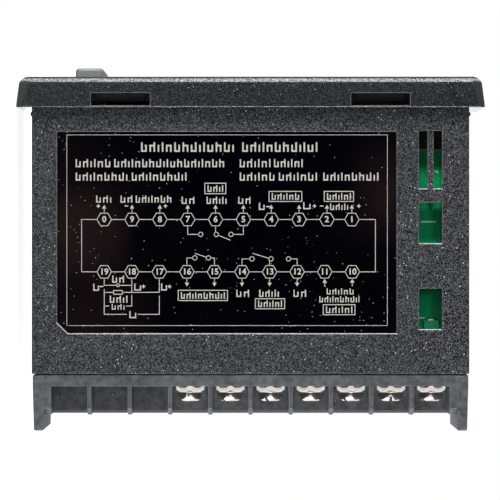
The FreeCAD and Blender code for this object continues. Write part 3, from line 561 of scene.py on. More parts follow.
def draw_bar(shape, start, end, width=STROKE):
    """A straight stroke between two points."""
    run = Vector(end) - Vector(start)
    turn = Matrix.Rotation(math.atan2(run.y, run.x), 4, "Z")
    middle = (Vector(start) + Vector(end)) / 2
    place = Matrix.Translation((*middle, 0)) @ turn @ Matrix.Diagonal((run.length, width, 1, 1))
    bmesh.ops.create_grid(shape, x_segments=1, y_segments=1, size=0.5, matrix=place)


def draw_line(shape, points, width=STROKE):
    """Strokes through a row of points, which meet at the corners without lying on each other."""
    last = len(points) - 2
    for index, (start, end) in enumerate(zip(points, points[1:])):
        start, end = Vector(start), Vector(end)
        half = (end - start).normalized() * width / 2
        draw_bar(shape, start + half * (index > 0), end + half * (index < last), width)


def draw_ring(shape, centre, radius, stroke, sides):
    """An outlined polygon or circle."""
    place = Matrix.Translation((*centre, 0)) @ Matrix.Rotation(math.radians(90), 4, "Z")
    made = bmesh.ops.create_circle(shape, cap_ends=True, segments=sides, radius=radius, matrix=place)
    faces = list({face for vert in made["verts"] for face in vert.link_faces})
    bmesh.ops.inset_region(shape, faces=faces, thickness=stroke, use_boundary=True, use_even_offset=True)
    bmesh.ops.delete(shape, geom=faces, context="FACES")


def draw_frame(shape, centre, width, height, stroke):
    """An outlined rectangle."""
    across, up = Vector((width / 2, 0)), Vector((0, height / 2))
    middle = Vector(centre)
    corners = [middle - across - up, middle + across - up, middle + across + up, middle - across + up]
    draw_line(shape, [*corners, corners[0], corners[0] + across * 0.01], stroke)


def draw_arrow_head(shape, tip, size, pointing):
    """A filled triangle that points up (1) or down (-1)."""
    radius = 0.6 * size
    turn = Matrix.Rotation(math.radians(90 - 90 * pointing), 4, "Z")
    place = Matrix.Translation((tip[0], tip[1] - pointing * radius, 0)) @ turn
    bmesh.ops.create_circle(shape, cap_ends=True, segments=3, radius=radius, matrix=place)


def draw_number(shape, centre, number, height):
    """A plain number around a centre."""
    font = bpy.data.curves.new("number", "FONT")
    font.body = str(number)
    font.size = FONT_SIZE * height
    font.align_x = font.align_y = "CENTER"
    font.resolution_u = 3
    font.offset = FONT_WEIGHT * height
    text = bpy.data.objects.new("number", font)
    mesh = bpy.data.meshes.new_from_object(text)
    mesh.transform(Matrix.Translation((*centre, 0)))
    shape.from_mesh(mesh)
    for used in (mesh, text, font):
        bpy.data.batch_remove([used])


def draw_word(shape, left, right, base, height):
    """A word that says nothing: uprights joined in twos, at the foot or at the head."""
    stroke, low = WORD_STROKE * height, WORD_LOW * height
    count = max(2, round((right - left) / (WORD_STEP * height)))
    step = (right - left - stroke) / (count - 1)
    for index in range(count):
        across = left + stroke / 2 + index * step
        tall = height if index % 5 in (0, 3) else low
        draw_bar(shape, (across, base), (across, base + tall), stroke)
        if index % 2 and index % 5 != 0:
            level = base + stroke / 2 if index % 4 == 1 else base + low - stroke / 2
            draw_bar(shape, (across - step + stroke / 2, level), (across - stroke / 2, level), stroke)


def print_piece(name, shape, view, body, slot, finish):
    """Gives flat print the thickness of its ink and makes it a piece."""
    bmesh.ops.translate(shape, vec=(0, 0, INK), verts=double(shape))
    add_piece(name, settle(shape, view), body, slot, finish)


# Label print: a wiring diagram of twenty numbered terminals. Across is the model's Z, up is its -Y.
BORDER_STROKE = 0.105
HEX_RADIUS = 1.5
HEX_HALF = HEX_RADIUS * math.sqrt(3) / 2
HEX_PITCH = 5.643
HEX_FIRST = -29.95
TOP_PITCH = 5.7  # the top row is set a little wider, and its last terminal closer
TOP_LAST = 20.76
TOP_ROW = -22.95
LOW_ROW = -33.67
LOOP_ENDS = (-34.5, 25.5)
CONTACT = 0.45  # radius of a switch contact's circle
NUMBER = 1.25  # height of the terminal numbers
ARROW = 1.55
ARROW_HEAD = 0.85
ARROW_OUT = 0.7  # how far the stroke of an arrow stays behind its tip, pointing out or in
ARROW_IN = 0.75
SIGN = 0.36  # half of a plus or minus sign, and its stroke
SIGN_STROKE = 0.22
FRAME_STROKE = 0.17
WORD = 1.45  # height of the small print
BOXED_WORD = 1.36


def terminal(number):
    """Middle of a numbered terminal on the diagram."""
    if number == 1:
        return Vector((TOP_LAST, TOP_ROW))
    if number < 10:
        return Vector((HEX_FIRST + (10 - number) % 10 * TOP_PITCH, TOP_ROW))
    return Vector((HEX_FIRST + (19 - number) * HEX_PITCH, LOW_ROW))


def print_terminals(shape):
    """Numbered hexagons, and the loop of line that runs through them."""
    for number in range(20):
        draw_ring(shape, terminal(number), HEX_RADIUS + STROKE / 2, STROKE, 6)
        draw_number(shape, terminal(number), number, NUMBER)
    reach = HEX_RADIUS + STROKE / 2
    for row, numbers in ((TOP_ROW, range(10)), (LOW_ROW, range(10, 20))):
        middles = sorted(terminal(number).x for number in numbers)
        starts = [LOOP_ENDS[0], *(middle + reach for middle in middles)]
        ends = [*(middle - reach for middle in middles), LOOP_ENDS[1]]
        for start, end in zip(starts, ends):
            draw_bar(shape, (start, row), (end, row))
    for across, side in zip(LOOP_ENDS, (-1, 1)):
        middle = across + side * STROKE / 2
        draw_bar(shape, (middle, TOP_ROW + STROKE / 2), (middle, LOW_ROW - STROKE / 2))


def print_arrows(shape):
    """Out of the top row, out of five of the low row, and into its last two."""
    for number in range(20):
        middle = terminal(number)
        pointing = 1 if number < 10 else -1
        edge = middle + Vector((0, pointing * (HEX_HALF + STROKE)))
        tip = edge + Vector((0, pointing * ARROW))
        if number in (10, 11):
            draw_arrow_head(shape, edge, ARROW_HEAD, 1)
            draw_bar(shape, edge - Vector((0, ARROW_IN)), tip)
        elif number < 17:
            draw_arrow_head(shape, tip, ARROW_HEAD, pointing)
            draw_bar(shape, edge, tip - Vector((0, pointing * ARROW_OUT)))


def print_switch(shape, numbers, level, contacts, lever):
    """Contacts of a relay: a lead from each terminal to its circle, and the lever between two of them."""
    for number, across in zip(numbers, contacts):
        middle = terminal(number)
        side = 1 if level > middle.y else -1
        start = middle + Vector((0, side * (HEX_HALF + STROKE)))
        toward = across - middle.x
        if abs(toward) < CONTACT:
            draw_bar(shape, start, (middle.x, level - side * CONTACT))
        else:
            stop = across - math.copysign(CONTACT, toward)
            draw_line(shape, [start, (middle.x, level), (stop, level)])
        draw_ring(shape, (across, level), CONTACT + STROKE / 2, STROKE, 16)
    pivot, end = Vector(lever[0]), Vector(lever[1])
    draw_bar(shape, pivot + (end - pivot).normalized() * CONTACT, end)


def print_switches(shape):
    level = TOP_ROW - 3.05
    print_switch(shape, (7, 6, 5), level, (-10.2, -7.0, -4.0), ((-7.0, level), (-4.1, level - 1.2)))
    level = LOW_ROW + 2.85
    print_switch(shape, (16, 15), level, (-11.4, -8.6), ((-8.6, level), (-11.4, level + 0.95)))
    level = LOW_ROW + 2.65
    print_switch(shape, (14, 13, 12), level, (0.3, 4.2, 7.8), ((4.2, level), (0.4, level + 1.15)))


def print_sensor(shape):
    """The sensors that the last three terminals take, drawn as one sketch."""
    first, second, third = (terminal(number).x for number in (19, 18, 17))
    middle = (first + second) / 2
    foot = LOW_ROW - HEX_HALF - STROKE
    bead, sensor, low, lowest = LOW_ROW - 2.76, LOW_ROW - 4.2, LOW_ROW - 7.0, LOW_ROW - 8.7
    draw_ring(shape, (middle, bead), 0.38, FRAME_STROKE, 12)
    draw_frame(shape, (middle, sensor), 1.8, 0.75, FRAME_STROKE)
    for points in (
            [(first, foot), (first, bead), (middle - 0.32, bead)],
            [(second, foot), (second, bead), (middle + 0.32, bead)],
            [(first, sensor), (middle - 1.0, sensor)],
            [(middle + 1.0, sensor), (third, sensor)],
            [(second, bead - 0.2), (second, sensor + STROKE / 2)],
            [(third, foot), (third, sensor - STROKE / 2)],
            [(first, sensor + 0.7), (first, lowest), (first + 4.6, lowest)],
            [(first + STROKE / 2, low), (first + 1.0, low)],
            [(second, sensor - 0.5), (second, low), (second - 1.2, low)],
            [(third, sensor - 0.7), (third, lowest), (third - 4.4, lowest)]):
        draw_line(shape, points)


def print_signs(shape):
    """Plus and minus signs beside the terminals that have a pole."""
    above, below = TOP_ROW + 2.75, LOW_ROW - 3.0
    for across, up, plus in (
            (-31.15, above, True), (-25.4, above, False), (-17.4, above, True), (3.6, above - 0.1, False),
            (13.1, above, True), (14.6, above, False), (22.2, above, True), (-30.5, below, False),
            (-21.9, below, True), (-16.55, below, True)):
        draw_bar(shape, (across - SIGN, up), (across + SIGN, up), SIGN_STROKE)
        if plus:
            draw_bar(shape, (across, up + SIGN_STROKE / 2), (across, up + SIGN), SIGN_STROKE)
            draw_bar(shape, (across, up - SIGN_STROKE / 2), (across, up - SIGN), SIGN_STROKE)


# Words of the label: the foot and height of each row, with the left and right end of each word
WORD_ROWS = (
    (-9.1, 1.95, ((-22.4, -3.4), (-1.7, 13.7))),
    (-12.25, 1.65, ((-35.8, -28.7), (-27.9, -5.4), (-2.2, 4.1), (4.8, 10.7))),
    (-15.0, 1.65, ((-35.8, -25.2), (-24.3, -13.1), (-2.2, 4.9), (5.8, 13.6), (14.9, 26.2))),
    (-19.5, WORD, ((-31.6, -28.5), (-26.6, -24.2), (-23.5, -16.2))),
    (-19.75, WORD, ((-14.1, -11.5), (-9.0, -4.9), (-2.5, 0.0))),
    (-21.0, WORD, ((1.7, 2.9),)),
    (-20.85, WORD, ((10.8, 12.3),)),
    (-21.0, 1.3, ((16.3, 20.0),)),
    (-35.9, WORD, ((-28.3, -25.9),)),
    (-37.55, WORD, ((-32.2, -31.0),)),
    (-37.5, WORD, ((-23.8, -22.4), (-18.3, -17.1))),
    (-40.0, WORD, ((-28.8, -25.2),)),
    (-41.4, 1.15, ((-28.4, -25.8),)),
    (-43.15, WORD, ((-24.8, -23.4),)),
    (-38.8, WORD, ((-2.9, -0.3), (1.8, 5.8), (8.8, 11.4))),
    (-38.3, 1.25, ((15.6, 21.1),)),
    (-39.9, 1.25, ((14.1, 22.3),)),
)
# Boxes around words: across, up, width, height
WORD_BOXES = ((-7.2, -16.6, 4.3, 2.15), (7.15, -18.23, 6.7, 2.05), (18.1, -18.23, 6.0, 2.05),
              (-9.75, -38.5, 10.1, 2.1), (4.0, -40.2, 6.0, 2.05), (18.15, -41.42, 6.5, 2.05))
BOX_MARGIN = 0.55


def print_words(shape):
    for foot, height, words in WORD_ROWS:
        for left, right in words:
            draw_word(shape, left, right, foot, height)
    for across, up, width, height in WORD_BOXES:
        draw_frame(shape, (across, up), width, height, FRAME_STROKE)
        reach = width / 2 - BOX_MARGIN
        draw_word(shape, across - reach, across + reach, up - BOXED_WORD / 2, BOXED_WORD)


BORDER_ENDS = (1.92, 1.8)  # how far the border lies inside the label: at its two ends, front and rear
BORDER_FRONT = 0.55
BORDER_REAR = 1.5


def make_label_print():
    low, high = box_mm("rating_label")
    shape = bmesh.new()
    left, right = low.z + BORDER_ENDS[0], high.z - BORDER_ENDS[1]
    front, rear = -(low.y + BORDER_FRONT), -(high.y - BORDER_REAR)
    draw_frame(shape, ((left + right) / 2, (front + rear) / 2), right - left, front - rear, BORDER_STROKE)
    for draw in (print_terminals, print_arrows, print_switches, print_sensor, print_signs, print_words):
        draw(shape)
    view = Matrix.Translation((high.x, 0, 0)) @ SIDE_VIEW
    print_piece("label_print", shape, view, "case", "label_film", "label_ink")


# Clamp screws with their washers, drawn on the axis Z with the contact plate's face at 0
WASHER_HALF = 2.87
WASHER_RISE = 1.25
WASHER_METAL = 0.87
WASHER_ROUND = 0.12
WASHER_PLAY = 0.12  # of the screw in its hole
HEAD_RADIUS = 2.55
HEAD_FLAT = 1.3
HEAD_HEIGHT = 1.9
HEAD_RIM = 0.45
HEAD_EDGE = 0.12
PLATE_PLAY = 0.04
SHANK_RADIUS = 1.42
SHANK_LENGTH = 6.6
SHANK_TIP = 0.35
THREAD_PITCH = 0.5
THREAD_DEPTH = 0.28
THREAD_START = 0.1
TURN_STEPS = 40
SLOT_WIDTH = 0.62
SLOT_DEPTH = 0.95
CROSS_LENGTH = 2.7
CROSS_DEPTH = 1.15
WAVE_DIP = 0.24  # depth and half width of the dip in the middle, as parts of the rise and of the half width
WAVE_FALL = 0.4  # how far the washer falls to its ends
WAVE_FALL_START = 0.62
SLOT_ANGLES = (55, 2, 38, 66, 22, 48, 74, 15, 84, 30)  # where each screw happened to stop


def turned(points):
    """A shape turned from a profile of (radius, height) points."""
    shape = bmesh.new()
    line = [shape.verts.new((radius, 0, height)) for radius, height in points]
    for start, end in zip(line, line[1:]):
        shape.edges.new((start, end))
    bmesh.ops.spin(shape, geom=shape.verts[:] + shape.edges[:], cent=(0, 0, 0), axis=(0, 0, 1),
                   angle=math.tau, steps=TURN_STEPS, use_merge=True)
    bmesh.ops.remove_doubles(shape, verts=shape.verts, dist=SEAM)
    bmesh.ops.recalc_face_normals(shape, faces=shape.faces)
    return shape


def screw_profile():
    """Half of the screw: thread, neck and a pan head that curves in to a flat end."""
    tip = WASHER_RISE - SHANK_LENGTH
    points = [(0, tip), (SHANK_RADIUS - SHANK_TIP, tip)]
    turns = int((SHANK_LENGTH - WASHER_RISE) / THREAD_PITCH)
    for index in range(turns):
        foot = tip + THREAD_START + index * THREAD_PITCH
        points += [(SHANK_RADIUS - THREAD_DEPTH, foot), (SHANK_RADIUS, foot + THREAD_PITCH / 2)]
    points += [(SHANK_RADIUS, THREAD_START), (SHANK_RADIUS, WASHER_RISE),
               (HEAD_RADIUS - HEAD_EDGE, WASHER_RISE), (HEAD_RADIUS, WASHER_RISE + HEAD_EDGE),
               (HEAD_RADIUS, WASHER_RISE + HEAD_RIM)]
    for step in range(1, 7):
        angle = math.radians(step * 15)
        points.append((HEAD_FLAT + (HEAD_RADIUS - HEAD_FLAT) * math.cos(angle),
                       WASHER_RISE + HEAD_RIM + (HEAD_HEIGHT - HEAD_RIM) * math.sin(angle)))
    return points + [(0, WASHER_RISE + HEAD_HEIGHT)]


def bar_cutter(length, width, depth, top):
    """A bar that cuts a slot of a depth into the end of a screw."""
    shape = bmesh.new()
    add_box(shape, (0, 0, top), (length, width, 2 * depth))
    return shape


def slotted_screw():
    """The screw with a slot right across its head and a cross arm in the middle, as a mesh."""
    top = WASHER_RISE + HEAD_HEIGHT
    screw = loose_object("screw", turned(screw_profile()))
    cutters = [loose_object("slot", bar_cutter(2 * HEAD_RADIUS + 1, SLOT_WIDTH, SLOT_DEPTH, top)),
               loose_object("cross", bar_cutter(SLOT_WIDTH, CROSS_LENGTH, CROSS_DEPTH, top))]
    for cutter in cutters:
        groove = screw.modifiers.new("groove", "BOOLEAN")
        groove.operation = "DIFFERENCE"
        groove.solver = "EXACT"
        groove.object = cutter
    mesh = bpy.data.meshes.new_from_object(screw.evaluated_get(bpy.context.evaluated_depsgraph_get()))
    for item in (screw, *cutters):
        bpy.data.objects.remove(item)
    return mesh


def wave(part):
    """Height of the washer's upper face, as a part of its rise, at a part of its half width."""
    outside = max(0.0, (part - WAVE_FALL_START) / (1 - WAVE_FALL_START))
    return 1 - WAVE_DIP * math.exp(-(part / WAVE_DIP) ** 4) - WAVE_FALL * outside ** 1.6


def wavy_washer():
    """Square washer with two waves that press the wires down, and a hole for the screw."""
    shape = bmesh.new()
    bmesh.ops.create_grid(shape, x_segments=24, y_segments=32, size=WASHER_HALF)
    hole = SHANK_RADIUS + WASHER_PLAY
    middle = [face for face in shape.faces if face.calc_center_median().length < hole]
    bmesh.ops.delete(shape, geom=middle, context="FACES")
    for vert in shape.verts:
        if vert.is_boundary and max(abs(vert.co.x), abs(vert.co.y)) < 0.95 * WASHER_HALF:
            vert.co *= hole / vert.co.length
    for vert in shape.verts:
        vert.co.z = wave(abs(vert.co.y) / WASHER_HALF) * WASHER_RISE
    for vert in double(shape):
        vert.co.z = max(PLATE_PLAY, vert.co.z - WASHER_METAL)
    bmesh.ops.recalc_face_normals(shape, faces=shape.faces)
    rim = [line for line in shape.edges if line.calc_face_angle(0) > math.radians(50)]
    round_lines(shape, rim, WASHER_ROUND, 2, clamp=True)
    return shape


def make_screws():
    screw = slotted_screw()
    washer = bpy.data.meshes.new("washer")
    shape = wavy_washer()
    shape.to_mesh(washer)
    shape.free()
    for index, number in enumerate([*RIGHT_NUMBERS, *LEFT_NUMBERS]):
        node = f"terminal_screw_{number}"
        low, high = box_mm(node)
        plate = high.y - WASHER_RISE - HEAD_HEIGHT
        axis = Matrix.Translation(((low.x + high.x) / 2, plate, (low.z + high.z) / 2)) @ REAR_VIEW
        turn = Matrix.Rotation(math.radians(SLOT_ANGLES[index % len(SLOT_ANGLES)]), 4, "Z")
        shape = bmesh.new()
        shape.from_mesh(screw)
        bmesh.ops.transform(shape, matrix=turn, verts=shape.verts)
        head_faces = len(shape.faces)
        shape.from_mesh(washer)
        shape.faces.ensure_lookup_table()
        for face in shape.faces[head_faces:]:
            face.material_index = 1
        settle(shape, axis)
        piece = add_piece(f"clamp_screw_{number}", shape, f"clamp_{number}", "plated_steel", smooth=30)
        piece.data.materials.append(FINISHES["washer_steel"])
        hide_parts(node)
    for mesh in (screw, washer):
        bpy.data.meshes.remove(mesh)


# Keys, drawn from the front with their height towards the viewer
KEY_COLLAR = 0.9  # how far the hidden collar stands out round a cap
COLLAR_HEIGHT = 0.8
COLLAR_CORNER = 0.6
COLLAR_ROUND = 0.1
STEM_LENGTH = 0.5
STEM_HALF = 1.2
STEM_CORNER = 0.2
STEM_ROUND = 0.05
KEY_STROKE = 0.3  # of the signs on the keys
KEY_CORNER = 1.0
KEY_ROUND = 0.7


def rounded_block(shape, wide, tall, start, end, corner, edge):
    """A block on the axis, given by half its sides, with its upright edges and its upper rim rounded."""
    made = add_box(shape, (0, 0, (start + end) / 2), (2 * wide, 2 * tall, end - start))
    lines = {line for vert in made for line in vert.link_edges}
    upright = [line for line in lines if abs((line.verts[0].co - line.verts[1].co).z) > (end - start) / 2]
    before = set(shape.verts) - set(made)
    round_lines(shape, upright, corner, 6)
    rim = [line for line in shape.edges if not set(line.verts) & before
           and min(vert.co.z for vert in line.verts) > end - SEAM]
    round_lines(shape, rim, edge, 5)


def draw_key_mark(shape, name):
    """What a key does, as a simple sign."""
    if name == "key_set":
        draw_ring(shape, (0, 0), 1.15, KEY_STROKE, 24)
        bmesh.ops.create_circle(shape, cap_ends=True, segments=16, radius=0.4)
    elif name == "key_shift":
        for across in (-0.7, 0.5):
            draw_bar(shape, (across, 0), (across + 0.85, 0.95), KEY_STROKE)
            draw_bar(shape, (across + 0.1, -0.1), (across + 0.85, -0.95), KEY_STROKE)
    else:
        pointing = 1 if name == "key_up" else -1
        draw_arrow_head(shape, (0, pointing * 1.15), 2.0, pointing)


def make_keys():
    for name in KEYS:
        low, high = box_mm(name)
        middle = Vector(((low.x + high.x) / 2, 0, (low.z + high.z) / 2))
        face = -low.y
        foot = -high.y + STEM_LENGTH
        collar = foot + COLLAR_HEIGHT
        wide, tall = (high.x - low.x) / 2, (high.z - low.z) / 2
        shape = bmesh.new()
        rounded_block(shape, wide - KEY_COLLAR, tall - KEY_COLLAR, collar, face, KEY_CORNER, KEY_ROUND)
        rounded_block(shape, wide, tall, foot, collar, COLLAR_CORNER, COLLAR_ROUND)
        rounded_block(shape, STEM_HALF, STEM_HALF, -high.y, foot, STEM_CORNER, STEM_ROUND)
        settle(shape, Matrix.Translation(middle) @ FRONT_VIEW)
        piece = add_piece(name + "_cap", shape, name + "_button", "key_plastic", smooth=40)
        piece.modifiers.new("even_normals", "WEIGHTED_NORMAL").keep_sharp = True
        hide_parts(name)
        mark = bmesh.new()
        draw_key_mark(mark, name)
        view = Matrix.Translation(middle - Vector((0, face, 0))) @ FRONT_VIEW
        print_piece(name + "_mark", mark, view, name + "_button", "key_plastic", "key_ink")


# Digits of the two displays
DIGITS = 4
DIGIT_SLANT = 0.12
DIGIT_TALL = 0.72  # part of the display's height
DIGIT_PLACE = 0.45  # part of its pitch where a digit's middle lies
DIGIT_WIDE = 0.5  # parts of a digit's height: its width, its strokes and the gaps between them
DIGIT_STROKE = 0.13
DIGIT_GAP = 0.03


def draw_segment(shape, place, length, width):
    """One segment of a digit, pointed at both ends."""
    made = bmesh.ops.create_circle(shape, cap_ends=True, segments=6, radius=1)["verts"]
    for vert in made:
        side, level = vert.co.y, vert.co.x
        pointed = abs(level) < 0.1
        vert.co.x = math.copysign(length / 2 if pointed else (length - width) / 2, side)
        vert.co.y = 0 if pointed else math.copysign(width / 2, level)
    bmesh.ops.transform(shape, matrix=place, verts=made)


def draw_digit(shape, middle, height):
    """Seven segments and a point, leaning a little."""
    wide, stroke, gap = DIGIT_WIDE * height, DIGIT_STROKE * height, DIGIT_GAP * height
    lean = Matrix.Identity(4)
    lean[0][1] = DIGIT_SLANT
    frame_place = Matrix.Translation((*middle, 0)) @ lean
    upright = Matrix.Rotation(math.radians(90), 4, "Z")
    for level in (-1, 0, 1):
        place = frame_place @ Matrix.Translation((0, level * (height - stroke) / 2, 0))
        draw_segment(shape, place, wide - 2 * gap, stroke)
    for side in (-1, 1):
        for level in (-1, 1):
            spot = Matrix.Translation((side * wide / 2, level * (height - stroke) / 4, 0))
            draw_segment(shape, frame_place @ spot @ upright, (height - stroke) / 2 - 2 * gap, stroke)
    dot = Matrix.Translation((wide / 2 + 1.4 * stroke, -height / 2 + stroke / 2, 0))
    bmesh.ops.create_circle(shape, cap_ends=True, segments=16, radius=0.6 * stroke, matrix=frame_place @ dot)


def make_digits():
    for node in ("pv_display", "sv_display"):
        low, high = box_mm(node)
        shape = bmesh.new()
        pitch = (high.x - low.x) / DIGITS
        for index in range(DIGITS):
            across = low.x + (index + DIGIT_PLACE) * pitch
            draw_digit(shape, (across, (low.z + high.z) / 2), DIGIT_TALL * (high.z - low.z))
        view = Matrix.Translation((0, low.y, 0)) @ FRONT_VIEW
        print_piece(node + "_segments", shape, view, "case", "digit_module", "digit_resin")


# What shows of the boards through the vents
SCREEN_BARS = (((34.95, -23.4), (38.1, -23.4), 0.34), ((37.8, -12.85), (38.55, -13.35), 0.3),
               ((33.6, -43.15), (35.75, -43.15), 0.3))  # ends and stroke
SCREEN_FRAMES = ((-29.25, -21.2), (-15.25, -21.2), (-1.25, -21.2))  # middles of the outlined parts
SCREEN_FRAME_SIZE = (10.6, 7.6)
SCREEN_STROKE = 0.25
TAIL_JOINTS = (0.4, 3.2)  # where a contact's tail is soldered, from its end
TAIL_JOINT = (1.725, 0.92, 0.55)  # half length, half width and height
PIN_COLUMNS = (18.6, 23.9)
PIN_COUNT = 12
PIN_FIRST = -34
PIN_PITCH = 3.2512
PIN_JOINT = (0.75, 0.75, 0.5)


def make_board_print():
    """White lines of the component outlines on the label-side board."""
    shape = bmesh.new()
    for start, end, stroke in SCREEN_BARS:
        draw_bar(shape, start, end, stroke)
    for middle in SCREEN_FRAMES:
        draw_frame(shape, middle, *SCREEN_FRAME_SIZE, SCREEN_STROKE)
    view = Matrix.Translation((box_mm("input_board")[1].x, 0, 0)) @ SIDE_VIEW
    print_piece("board_print", shape, view, "case", "green_board", "silkscreen_ink")


def solder_dome(shape, place, size):
    """A low round joint of solder on the face of a side board."""
    made = bmesh.ops.create_uvsphere(shape, u_segments=12, v_segments=6, radius=1)["verts"]
    matrix = Matrix.Translation(place) @ SIDE_VIEW @ Matrix.Diagonal((*size, 1))
    bmesh.ops.transform(shape, matrix=matrix, verts=made)


def make_solder():
    """Joints where the contact tails and the parts' pins come through the two side boards."""
    for side, board, plates, numbers in ((1, "input_board", "contact_plates_right", RIGHT_NUMBERS),
                                         (-1, "power_board", "contact_plates_left", LEFT_NUMBERS)):
        low, high = box_mm(board)
        face = high.x if side > 0 else low.x
        tails = box_mm(plates)[0].y
        shape = bmesh.new()
        for number in numbers:
            node_low, node_high = box_mm(f"terminal_screw_{number}")
            for joint in TAIL_JOINTS:
                solder_dome(shape, (face, tails + joint, (node_low.z + node_high.z) / 2), TAIL_JOINT)
        for column in PIN_COLUMNS:
            for row in range(PIN_COUNT):
                solder_dome(shape, (face, column, PIN_FIRST + PIN_PITCH * row), PIN_JOINT)
        add_piece("solder_" + board, settle(shape), "case", "tinned_brass", "solder", smooth=60)


# Small snap nubs on the two ends of the case, just behind the flange
CASE_END = 44.8
NUB_ACROSS = 19.5
NUB_DEPTH = 1.35
NUB_SIZE = (3.0, 0.8, 0.6)
NUB_ROUND = 0.2


def make_nubs():
    shape = bmesh.new()
    for across in (-NUB_ACROSS, NUB_ACROSS):
        for side in (-1, 1):
            made = add_box(shape, (across, NUB_DEPTH, side * CASE_END), NUB_SIZE)
            outer = [vert for vert in made if side * vert.co.z > CASE_END]
            rim = {line for vert in outer for line in vert.link_edges if line.other_vert(vert) in outer}
            round_lines(shape, list(rim), NUB_ROUND, 3)
    add_piece("case_nubs", settle(shape), "case", "case_plastic")


# Stage: floor, light and camera. Lengths of the stage are in metres.
CASE_INSET = 1.8  # how far the side of the case lies inside the flange's, in millimetres
CAMERA_DISTANCE = 1250  # from the label side of the case, in millimetres
VIEW_WIDTH = 102.35  # what the picture spans at that side, in millimetres
VIEW_CENTRE = Vector((0, 29.2, -0.1))
FLOOR_SIZE = 3
FLOOR_END = 0.08  # how far the floor goes to the label side
FLOOR_GLOW = 0.9
WORLD_LIGHT = 0.25  # strength of the white world, where it isn't seen
TENT_WALL = 0.6
TENT_HALF = 0.5
TENT_FRONT = 0.5
TENT_REAR = 0.25
TENT_EDGE = -0.15  # how low its sheets hang
TENT_MIDDLE = 0.03
WINDOW_HALF = 0.11
GLOW_DARK_SPAN = (36.0, 60.0)  # up and down from the middle the glowing sheets' painted reflection turns from dark to warmer, in millimetres
BEIGE_START = (80.0, 130.0)  # behind this the painted reflection is beige, near the middle
BEIGE_END = (40.0, 90.0)
WARM_PATCHES = ((24, -50, 15, 1.0), (12, 44, 15, 0.75), (58, -44, 20, 0.4))  # painted warm reflections: depth, height, reach, strength
STAGE_MIDDLE = Vector((0.022, TENT_MIDDLE, 0))
LAMP_DISTANCE = 0.83
OVERHEAD_DISTANCE = 1.5


def background_rays(shading):
    """1 for rays that should meet the white background: seen directly, mirrored or through glass."""
    path = shading.tree.nodes.new("ShaderNodeLightPath")
    names = ("Is Camera Ray", "Is Glossy Ray", "Is Transmission Ray")
    camera, glossy, transmitted = (Wire(shading, path.outputs[name]) for name in names)
    return shading.fit(camera + glossy + transmitted, 0.0, 1.0)


def make_floor(low):
    shape = bmesh.new()
    bmesh.ops.create_grid(shape, x_segments=1, y_segments=1, size=FLOOR_SIZE)
    for vert in shape.verts:
        vert.co.x = min(vert.co.x, FLOOR_END)
        vert.co.z = low
    floor = loose_object("floor", shape)
    paint = new_finish("floor_white")
    lit = paint.node("BsdfDiffuse", None, {"Color": (0.8, 0.8, 0.8)})
    glow = paint.node("Emission", None, {"Color": (1, 1, 1), "Strength": FLOOR_GLOW})
    bright = paint.node("AddShader", None, {0: lit, 1: glow})
    mixed = paint.node("MixShader", None, {0: background_rays(paint), 1: lit, 2: bright})
    floor.data.materials.append(paint.close("OutputMaterial", mixed))


def tent_sheet(shape, corners):
    shape.faces.new([shape.verts.new(corner) for corner in corners])


def make_tent():
    """Glowing sheets round the camera's side, no lamp, with windows to the front and rear, seen in gloss
    alone: painted reflections, dark with warm patches.
    """
    near, far = TENT_MIDDLE - TENT_FRONT, TENT_MIDDLE + TENT_REAR
    wall, half = TENT_WALL, TENT_HALF
    shape = bmesh.new()
    tent_sheet(shape, [(wall, near, -half), (wall, far, -half), (wall, far, half), (wall, near, half)])
    for side in (-1, 1):
        tent_sheet(shape, [(TENT_EDGE, near, side * half), (TENT_EDGE, far, side * half),
                           (wall, far, side * half), (wall, near, side * half)])
        for end in (near, far):
            tent_sheet(shape, [(TENT_EDGE, end, side * WINDOW_HALF), (TENT_EDGE, end, side * half),
                               (wall, end, side * half), (wall, end, side * WINDOW_HALF)])
    tent = loose_object("reflection_tent", shape)
    paint = new_finish("painted_reflection_glow")
    along, level = paint.axis(1), paint.axis(2)
    # The sheets glow with painted reflections: dark in the middle, warmer up and down, with warm patches and
    # beige towards the rear
    dark, warm = (0.004, 0.008, 0.03), (0.10, 0.062, 0.075)
    tone = paint.blend(paint.fit(abs(level), *GLOW_DARK_SPAN), dark, warm)
    for middle, place, reach, strength in WARM_PATCHES:
        away = (along - middle) ** 2.0 + (level - place) ** 2.0
        tone = paint.blend(paint.fit(away, 0.0, reach ** 2, strength, 0.0), tone, (0.5, 0.28, 0.27))
    beige = paint.fit(along, *BEIGE_START) * paint.fit(abs(level), *BEIGE_END, 1.0, 0.0)
    tone = paint.blend(beige, tone, (0.36, 0.30, 0.22))
    glow = paint.node("Emission", None, {"Color": tone, "Strength": 1.0})
    tent.data.materials.append(paint.close("OutputMaterial", glow))
    tent.visible_camera = tent.visible_diffuse = tent.visible_shadow = False
    tent.visible_transmission = False


def make_world():
    world = bpy.data.worlds.new("studio")
    bpy.context.scene.world = world
    shading = Shading(world)
    strength = shading.fit(background_rays(shading), 0.0, 1.0, WORLD_LIGHT, 1.0)
    light = shading.node("Background", None, {"Color": (1, 1, 1), "Strength": strength})
    shading.close("OutputWorld", light)


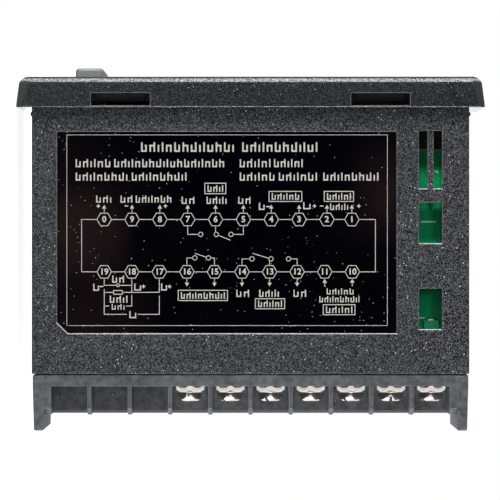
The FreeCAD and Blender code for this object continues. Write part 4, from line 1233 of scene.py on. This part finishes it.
def make_lamp(name, side, angle, shift, size, power, distance=LAMP_DISTANCE, mirrored=True):
    """A lamp to the front (-1) or rear (1), so many degrees above the label side, turned to the case."""
    lean = math.radians(angle)
    place = STAGE_MIDDLE + distance * Vector((math.sin(lean), side * math.cos(lean), shift))
    lamp = bpy.data.lights.new(name, "AREA")
    lamp.shape = "RECTANGLE"
    lamp.size, lamp.size_y = size
    lamp.energy = power
    item = bpy.data.objects.new(name, lamp)
    item.location = place
    item.visible_glossy = mirrored
    item.rotation_euler = (STAGE_MIDDLE - place).to_track_quat("-Z", "Y").to_euler()
    bpy.context.scene.collection.objects.link(item)


def make_camera():
    camera = bpy.data.cameras.new("camera")
    camera.sensor_width = 36
    camera.lens = camera.sensor_width * CAMERA_DISTANCE / VIEW_WIDTH
    camera.clip_start, camera.clip_end = 0.01, 10
    item = bpy.data.objects.new("camera", camera)
    side = box_mm("housing")[1].x - CASE_INSET
    place = VIEW_CENTRE + Vector((side + CAMERA_DISTANCE, 0, 0))
    item.matrix_world = Matrix.Translation(place * MM) @ SIDE_VIEW
    bpy.context.scene.collection.objects.link(item)
    bpy.context.scene.camera = item


def make_stage():
    make_floor(cad_box[0].z)
    make_tent()
    make_world()
    make_lamp("front_lamp", -1, 26.0, 0.04, (0.07, 0.2), 7.5)
    make_lamp("low_front_lamp", -1, 2.0, 0.0, (0.3, 0.6), 5.8, mirrored=False)
    make_lamp("fill_lamp", -1, 46.0, 0.1, (0.25, 1.4), 1.4)
    make_lamp("side_lamp", -1, 72.0, 0.55, (0.2, 0.2), 1.5, mirrored=False)
    make_lamp("overhead_lamp", 1, 90.0, 0.0, (0.2, 0.2), 0.7, OVERHEAD_DISTANCE, mirrored=False)
    make_lamp("rear_lamp", 1, 20.0, 0.0, (0.1, 0.3), 10.0)
    make_camera()
    bpy.context.scene.view_settings.view_transform = "Standard"


dress_nodes()
round_board()
soften("housing", "case_shell", "case_plastic", 0.2)
soften("terminal_block", "rear_block", "block_plastic", 0.14)
soften("front_panel", "front_frame", "panel_plastic", 0.12)
make_label_print()
make_screws()
make_keys()
make_digits()
make_board_print()
make_solder()
make_nubs()
make_stage()
